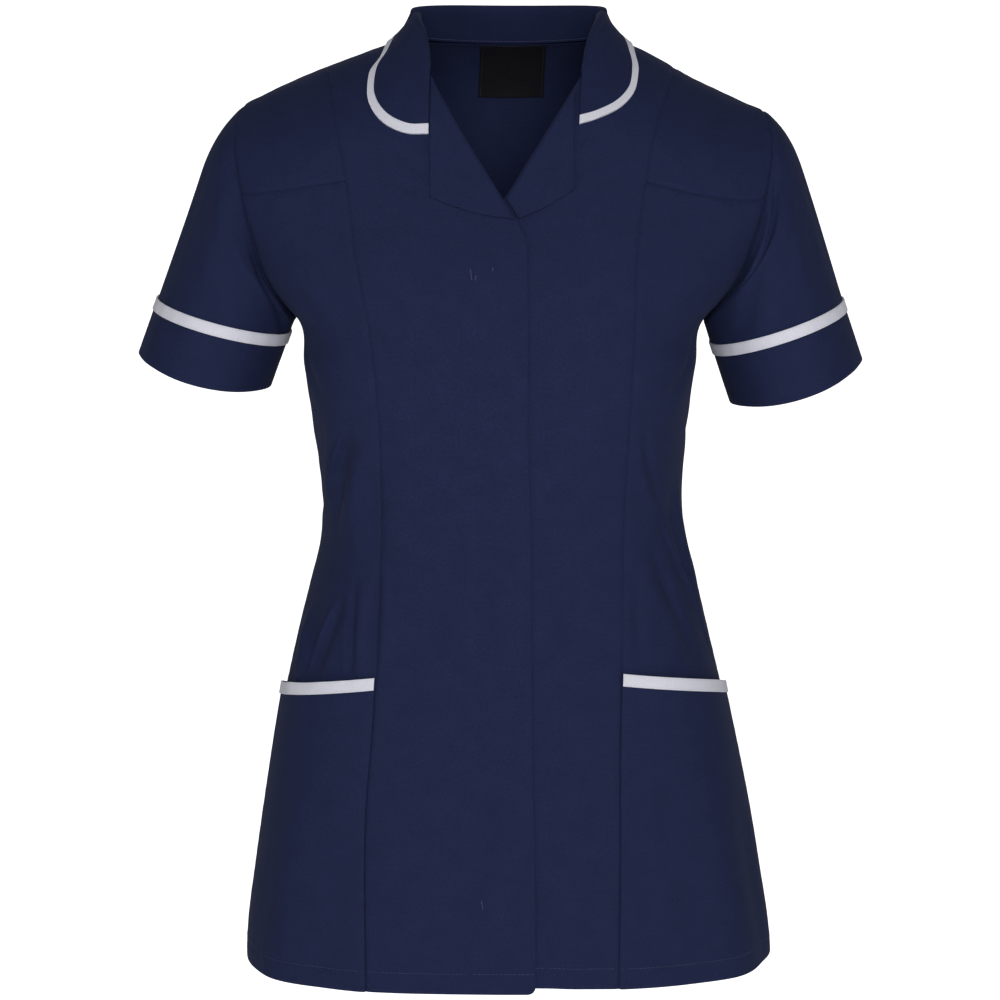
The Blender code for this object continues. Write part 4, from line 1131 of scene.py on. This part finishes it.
LAPEL_TOP_INNER = {-1: (0.0505, -0.0310), 1: (0.0462, -0.0385)}
LAPEL_TOP_OUTER = {-1: (0.0528, -0.0275), 1: (0.0490, -0.0370)}
LAPEL_CORNER = {-1: (0.0510, -0.1115), 1: (0.0494, -0.1060)}
UNDER_LAPEL_FOOT = np.array((0.0010, -0.1100))
UNDER_LAPEL_HEEL = np.array((0.0105, -0.1248))
LAPEL_CLEAR = 0.0009
LAPEL_CLOTH = 0.0016
LAPEL_BOW = {-1: 0.0026, 1: 0.0014}
LAPEL_ROWS = 36
LAPEL_HEEL_ROWS = 6
LAPEL_COLUMNS = 24
ROLL_TURN = 0.0030


def lapel_places(hand):
    """The lapel's grid, between its roll line, cut edge, bottom and top."""
    share = steps(LAPEL_ROWS)[:, None]
    foot = ROLL_FOOT if hand < 0 else UNDER_LAPEL_FOOT
    heel = ROLL_FOOT if hand < 0 else UNDER_LAPEL_HEEL
    corner = np.array(LAPEL_CORNER[hand])
    roll = foot + (LAPEL_TOP_INNER[hand] - foot) * share
    edge = corner + (LAPEL_TOP_OUTER[hand] - corner) * share
    if hand > 0:
        up = steps(LAPEL_HEEL_ROWS)[:-1, None]
        roll = np.concatenate([heel + (foot - heel) * up, roll])
        step = (edge[1] - edge[0]) / (LAPEL_HEEL_ROWS + 1)
        edge = np.concatenate([edge[:1] + step * np.arange(LAPEL_HEEL_ROWS + 1)[:, None],
                               edge[1:]])
    along = steps(LAPEL_COLUMNS)[:, None]
    bottom = heel + (corner - heel) * along
    bottom[:, 1] -= LAPEL_BOW[hand] * np.sin(np.pi * along[:, 0])
    top = roll[-1] + (edge[-1] - roll[-1]) * along
    flat = fill_between(roll, edge, bottom, top)
    return place_at(-1, flat[..., 0], flat[..., 1])


for hand, word in SIDE_NAME.items():
    places = crowd_edges(lapel_places(hand))
    points, normals = on_form(-1, places)
    reach = edge_distances(points)
    turned = np.clip(reach["left"] / ROLL_TURN, 0, 1)
    lift = (LAPEL_CLEAR + LAPEL_CLOTH) * np.sqrt(1 - (1 - turned)**2)
    lift = lift + body_folds(-1, hand * places[..., 0], points[..., 2])
    lift = lift + (under_lap(places) if hand > 0 else 0.0)
    lift = lift + 0.0006 * np.exp(-(reach["left"] / 0.012)**2) * turned
    grid = as_worn(points + normals * lift[..., None], hand)
    lapel = build_cloth("lapel_%s_cloth" % word, grid, normals * (hand, 1, 1),
                        weave_map(reach), navy, LAPEL_CLOTH)
    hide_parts("lapel_" + word)


# ---- The neck label --------------------------------------------------------------------
# A black woven ribbon, sewn flat inside the back neck along its top edge. Its face is
# left plain.

LABEL_LEFT, LABEL_RIGHT = -0.0204, 0.0304
LABEL_TOP, LABEL_FOOT = 0.0006, -0.0394
LABEL_CLOTH = 0.0008
LABEL_CLEAR = 0.0018
label_black = cloth_material("label_weave", (0.006, 0.006, 0.008, 1),
                             (0.016, 0.016, 0.020, 1), 0.50, 0.00010, 0.0, (1, 1, 1, 1))
across = np.linspace(LABEL_LEFT, LABEL_RIGHT, 31)
heights = np.linspace(LABEL_FOOT, LABEL_TOP, 27)
points, label_normals = on_form(1, place_at(1, *np.meshgrid(across, heights)))
reach = edge_distances(points)
inside = CLOTH + LABEL_CLEAR + 0.0003 * np.sin(reach["left"] * 90) * (reach["top"] / 0.04)
label_grid = as_worn(points - label_normals * inside[..., None])
label = build_cloth("neck_label_ribbon", label_grid, -label_normals, weave_map(reach),
                    label_black, LABEL_CLOTH)
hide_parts("neck_label")


# ---- The stitching ---------------------------------------------------------------------
# Lockstitch in navy thread holds the hem, in white thread the tapes. Each visible stitch
# is a short rounded length of thread that sinks into the cloth at its ends.

def stitch_row(name, path, normals, length, gap, width, material):
    """Stitches along a path: each is four rings of six points, the end rings small, set
    along the path's direction and flattened towards the cloth."""
    at = run_along(path, 0)
    centres = np.arange(length, at[-1] - length, length + gap)

    def along(values, where):
        return np.stack([np.interp(where, at, values[:, i]) for i in range(3)], axis=-1)

    ahead = unit(along(path, centres + length / 2) - along(path, centres - length / 2))
    up = unit(along(normals, centres))
    side = unit(np.cross(up, ahead))
    ring = np.linspace(0, 2 * np.pi, 7)[:-1]
    rings = ((-0.5, 0.35, -0.25), (-0.36, 1, 0.1), (0.36, 1, 0.1), (0.5, 0.35, -0.25))
    points = np.stack([
        along(path, centres)[:, None] + ahead[:, None] * t * length
        + side[:, None] * (np.cos(ring) * size * width / 2)[:, None]
        + up[:, None] * ((np.sin(ring) * size * 0.7 + sink) * width / 2)[:, None]
        for t, size, sink in rings], axis=1)
    base = np.arange(6)
    walls = np.stack([base, (base + 1) % 6, (base + 1) % 6 + 6, base + 6], -1)
    walls = np.concatenate([walls + 6 * k for k in range(3)])
    faces = [(part + 24 * np.arange(len(centres))[:, None, None]).reshape(-1, part.shape[1])
             for part in (walls, np.stack([base[::-1], base + 18]))]
    row = new_object(name, new_mesh(name, points, faces[0].tolist() + faces[1].tolist(),
                                    material))
    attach(row, "root")


def thread_material(name, dark, light):
    """Twisted thread: fine slanting bands between two tones."""
    material, tree, shader = new_material(name)
    place = new_node(tree, "ShaderNodeTexCoord", {}).outputs["Object"]
    twist = new_node(tree, "ShaderNodeTexWave", {"Vector": place, "Scale": 1400.0},
                     bands_direction="DIAGONAL").outputs["Fac"]
    set_sockets(tree, shader, {"Base Color": blend_colours(tree, twist, dark, light),
                               "Roughness": 0.6})
    return material


navy_thread = thread_material("navy_thread", (0.028, 0.034, 0.090, 1), (0.055, 0.064, 0.150, 1))
tack_thread = thread_material("tack_thread", (0.060, 0.070, 0.150, 1), (0.100, 0.110, 0.220, 1))
label_thread = thread_material("label_thread", (0.020, 0.020, 0.026, 1),
                               (0.050, 0.050, 0.062, 1))
white_thread = thread_material("white_thread", (0.60, 0.60, 0.72, 1), (0.82, 0.82, 0.92, 1))


def on_body(side, places, lift, hand=1):
    """Points and normals of a path on the form, with the folds of the cloth below it."""
    points, normals = on_form(side, places)
    rise = lift + body_folds(side, hand * places[:, 0], points[:, 2])
    return as_worn(points + normals * rise[:, None], hand), normals * (hand, 1, 1)


def lockstitch(name, path, facing, thread, slot):
    """A row of stitches of the usual length and spacing."""
    stitch_row(name, path, facing, STITCH, STITCH_GAP, THREAD, thread)


def tape_stitches(name, strip, normals, closed=False):
    """Two rows of white lockstitch on a strip of tape, a small inset from its edges."""
    for place, first in (("low", 0), ("high", -1)):
        across = strip[-1 - first] - strip[first]
        share = TAPE_STITCH_INSET / np.linalg.norm(across, axis=-1, keepdims=True)
        path, facing = strip[first] + across * share, normals[first]
        if closed:
            path, facing = (np.concatenate([part, part[:1]]) for part in (path, facing))
        lockstitch(name % place, path, facing, white_thread, "white_tape")


def row_at_height(places, above):
    """The row of a panel's grid that lies a distance above its hem, on every column."""
    up = run_along(form_point(-1, places[..., 0], places[..., 1]), 0)
    rows, column = np.arange(len(up)), np.arange(up.shape[1])
    share = np.array([np.interp(above, up[:, i], rows) for i in column])
    low = np.minimum(share.astype(int), len(up) - 2)
    mix = (share - low)[:, None]
    return places[low, column] * (1 - mix) + places[low + 1, column] * mix


THREAD = 0.00035
STITCH, STITCH_GAP = 0.0026, 0.0006
TAPE_STITCH_INSET = 0.0011
LABEL_THREAD = 0.0003
LABEL_STITCH, LABEL_STITCH_GAP = 0.0022, 0.0005


def hem_stitches(part, side, places, hand=1, lift=lambda places: 0.0):
    """A row of stitches along the top of a turned-up hem."""
    places = row_at_height(places, HEM_DEPTH)
    lockstitch("hem_stitches_" + part, *on_body(side, places, lift(places), hand), navy_thread,
               "navy_cloth")


hem_stitches("back", 1, back_places())
hem_stitches("centre_right", -1, centre_front_places(-1), -1)
hem_stitches("side_right", -1, side_front_places(-1), -1, lambda places: SEAM_GAP + CLOTH)
hem_stitches("centre_left", -1, centre_front_places(1), 1, under_lap)
hem_stitches("side_left", -1, side_front_places(1), 1, lambda places: SEAM_GAP + CLOTH)

for hand, word in SIDE_NAME.items():
    places = side_front_places(hand)[:SKIRT_ROWS + TRIM_ROWS + 1]
    lift = pocket_lift(hand, places) + SEAM_GAP + TAPE
    rows = [on_body(-1, places[row], lift[row], hand) for row in (-TRIM_ROWS - 1, -1)]
    tape_stitches("pocket_tape_stitches_%s_" + word, *map(np.stack, zip(*rows)))

    strip = sleeve_ring(hand, ring_turns(sleeve_turns()),
                        CUFF_HEIGHT[hand] + SEAM_GAP + np.array((0.0, TRIM_WIDTH))[:, None])
    normals = tube_normals(strip)
    strip = as_worn(strip + normals * (SEAM_GAP + TAPE), hand)
    tape_stitches("cuff_tape_stitches_%s_" + word, strip, normals * (hand, 1, 1), closed=True)

# The tape round the collar is held by one row near its inner edge, the stand by one row
# just above the neck seam, and the label by a row down each side
behind = collar_degrees[collar_degrees < 95]
held = tape_from + TAPE_STITCH_INSET / fall_length
for name, degrees, part, share, near, outwards, thick, thread, slot in (
        ("collar_tape_stitches", collar_degrees, "fall", held, 0.02, 1, COLLAR_TRIM_CLOTH,
         white_thread, "white_tape"),
        ("stand_stitches", behind, "stand", 0.07, 0.05, -1, COLLAR_CLOTH, tack_thread,
         "navy_cloth")):
    lines = round_collar(degrees, [(part, share + step) for step in (-near, 0, near)])
    facing = sheet_normals(lines)[:, 1]
    facing = facing * np.sign(facing[len(facing) // 2, 1]) * outwards
    lockstitch(name, lines[:, 1] + facing * thick / 2, facing, thread, slot)

for side_word, column in (("right", 1), ("left", -2)):
    stitch_row("label_stitches_" + side_word, label_grid[:, column], -label_normals[:, column],
               LABEL_STITCH, LABEL_STITCH_GAP, LABEL_THREAD, label_thread)

# Small tacks through the front that hold the hidden fastening's band: distances from the
# centre and heights, in mm, of the ends of each stroke
TACK_THREAD = 0.00055
TACK_STITCH, TACK_GAP = 0.0012, 0.0001
TACKS = (
    ((-22.2, -159.8), (-20.8, -168.8)),
    ((-18.7, -169.0), (-17.8, -163.6)),
    ((-6.6, -158.5), (-6.4, -163.2)),
    ((-19.0, -616.0), (-17.8, -624.0)),
)
for number, (start, end) in enumerate(TACKS, 1):
    across, heights = np.linspace(start, end, 5).T / 1000
    # the front is the wearer's right one, so its own side is mirrored
    path, normals = on_body(-1, place_at(-1, -across, heights), 0.0, -1)
    stitch_row("front_tack_%d" % number, path, normals, TACK_STITCH, TACK_GAP, TACK_THREAD,
               tack_thread)


# ---- The studio ------------------------------------------------------------------------
# A pale floor that curves up into a pale wall, broad soft lights from the front and the
# sides, and the photograph's camera.

FLOOR_HEIGHT = -1.30
STUDIO_AMBIENT = 0.16
STUDIO_BOUNCE = 0.10
WALL_DISTANCE = 5.0
CURVE_RADIUS = 1.5
profile_turn = np.linspace(0, np.pi / 2, 13)
profile = np.concatenate([
    [[-7.0, FLOOR_HEIGHT]],
    np.stack([WALL_DISTANCE - CURVE_RADIUS + CURVE_RADIUS * np.sin(profile_turn),
              FLOOR_HEIGHT + CURVE_RADIUS * (1 - np.cos(profile_turn))], axis=-1),
    [[WALL_DISTANCE, 5.0]],
])
sweep = np.stack([np.insert(profile, 0, side, axis=1) for side in (-7.0, 7.0)], axis=1)
index = np.arange(2 * len(profile)).reshape(-1, 2)
strips = np.stack([index[:-1, 0], index[:-1, 1], index[1:, 1], index[1:, 0]], -1)
paper, tree, shader = new_material("studio_paper")
seen = new_node(tree, "ShaderNodeLightPath", {}).outputs["Is Camera Ray"]
glow = blend_colours(tree, seen, (STUDIO_BOUNCE,) * 3 + (1,), (1, 1, 1, 1))
set_sockets(tree, shader, {"Base Color": (0.90, 0.90, 0.90, 1), "Roughness": 0.9,
                           "Specular IOR Level": 0.1, "Emission Strength": 1.0,
                           "Emission Color": glow})
new_object("studio_floor", new_mesh("studio_floor", sweep, strips.tolist(), paper))

world = bpy.data.worlds.new("studio_world")
world.use_nodes = True
tree = world.node_tree
seen = new_node(tree, "ShaderNodeLightPath", {}).outputs["Is Camera Ray"]
strength = new_node(tree, "ShaderNodeMapRange", {"Value": seen, "To Min": STUDIO_AMBIENT,
                                                 "To Max": 1.0})
set_sockets(tree, tree.nodes["Background"], {"Color": (1, 1, 1, 1),
                                             "Strength": strength.outputs[0]})
bpy.context.scene.world = world
bpy.context.scene.view_settings.view_transform = "Standard"

# Name, place, the point it faces, width, height and power of each soft light
LIGHTS = (
    ("key", (0.15, -3.0, 0.30), (0.0, 0.0, -0.32), 1.1, 1.1, 42),
    ("fill_right", (-2.2, -1.6, -0.2), (0.0, 0.0, -0.35), 1.0, 1.8, 5.0),
    ("fill_left", (2.2, -1.6, -0.2), (0.0, 0.0, -0.35), 1.0, 1.8, 4.4),
    ("back_soft", (0.0, 3.0, 0.8), (0.0, 0.0, -0.35), 1.6, 1.6, 10),
)
for name, place, target, width, height, power in LIGHTS:
    lamp = bpy.data.lights.new(name, "AREA")
    lamp.shape = "RECTANGLE"
    lamp.size, lamp.size_y, lamp.energy = width, height, power
    light = new_object(name, lamp)
    light.location = place
    way = unit(np.array(target) - np.array(place))
    light.rotation_euler = (np.arccos(-way[2]), 0, np.arctan2(-way[0], way[1]))
    light.visible_camera = False

CAMERA_DISTANCE = 2.2
CAMERA_PITCH = np.radians(8)
CAMERA_TARGET = (-0.003, 0.0, -0.341)
view = bpy.data.cameras.new("camera")
view.lens = 105.6
camera = new_object("camera", view)
camera.location = (CAMERA_TARGET[0], -CAMERA_DISTANCE * np.cos(CAMERA_PITCH),
                   CAMERA_TARGET[2] + CAMERA_DISTANCE * np.sin(CAMERA_PITCH))
camera.rotation_euler = (np.pi / 2 - CAMERA_PITCH, 0, 0)
bpy.context.scene.camera = camera
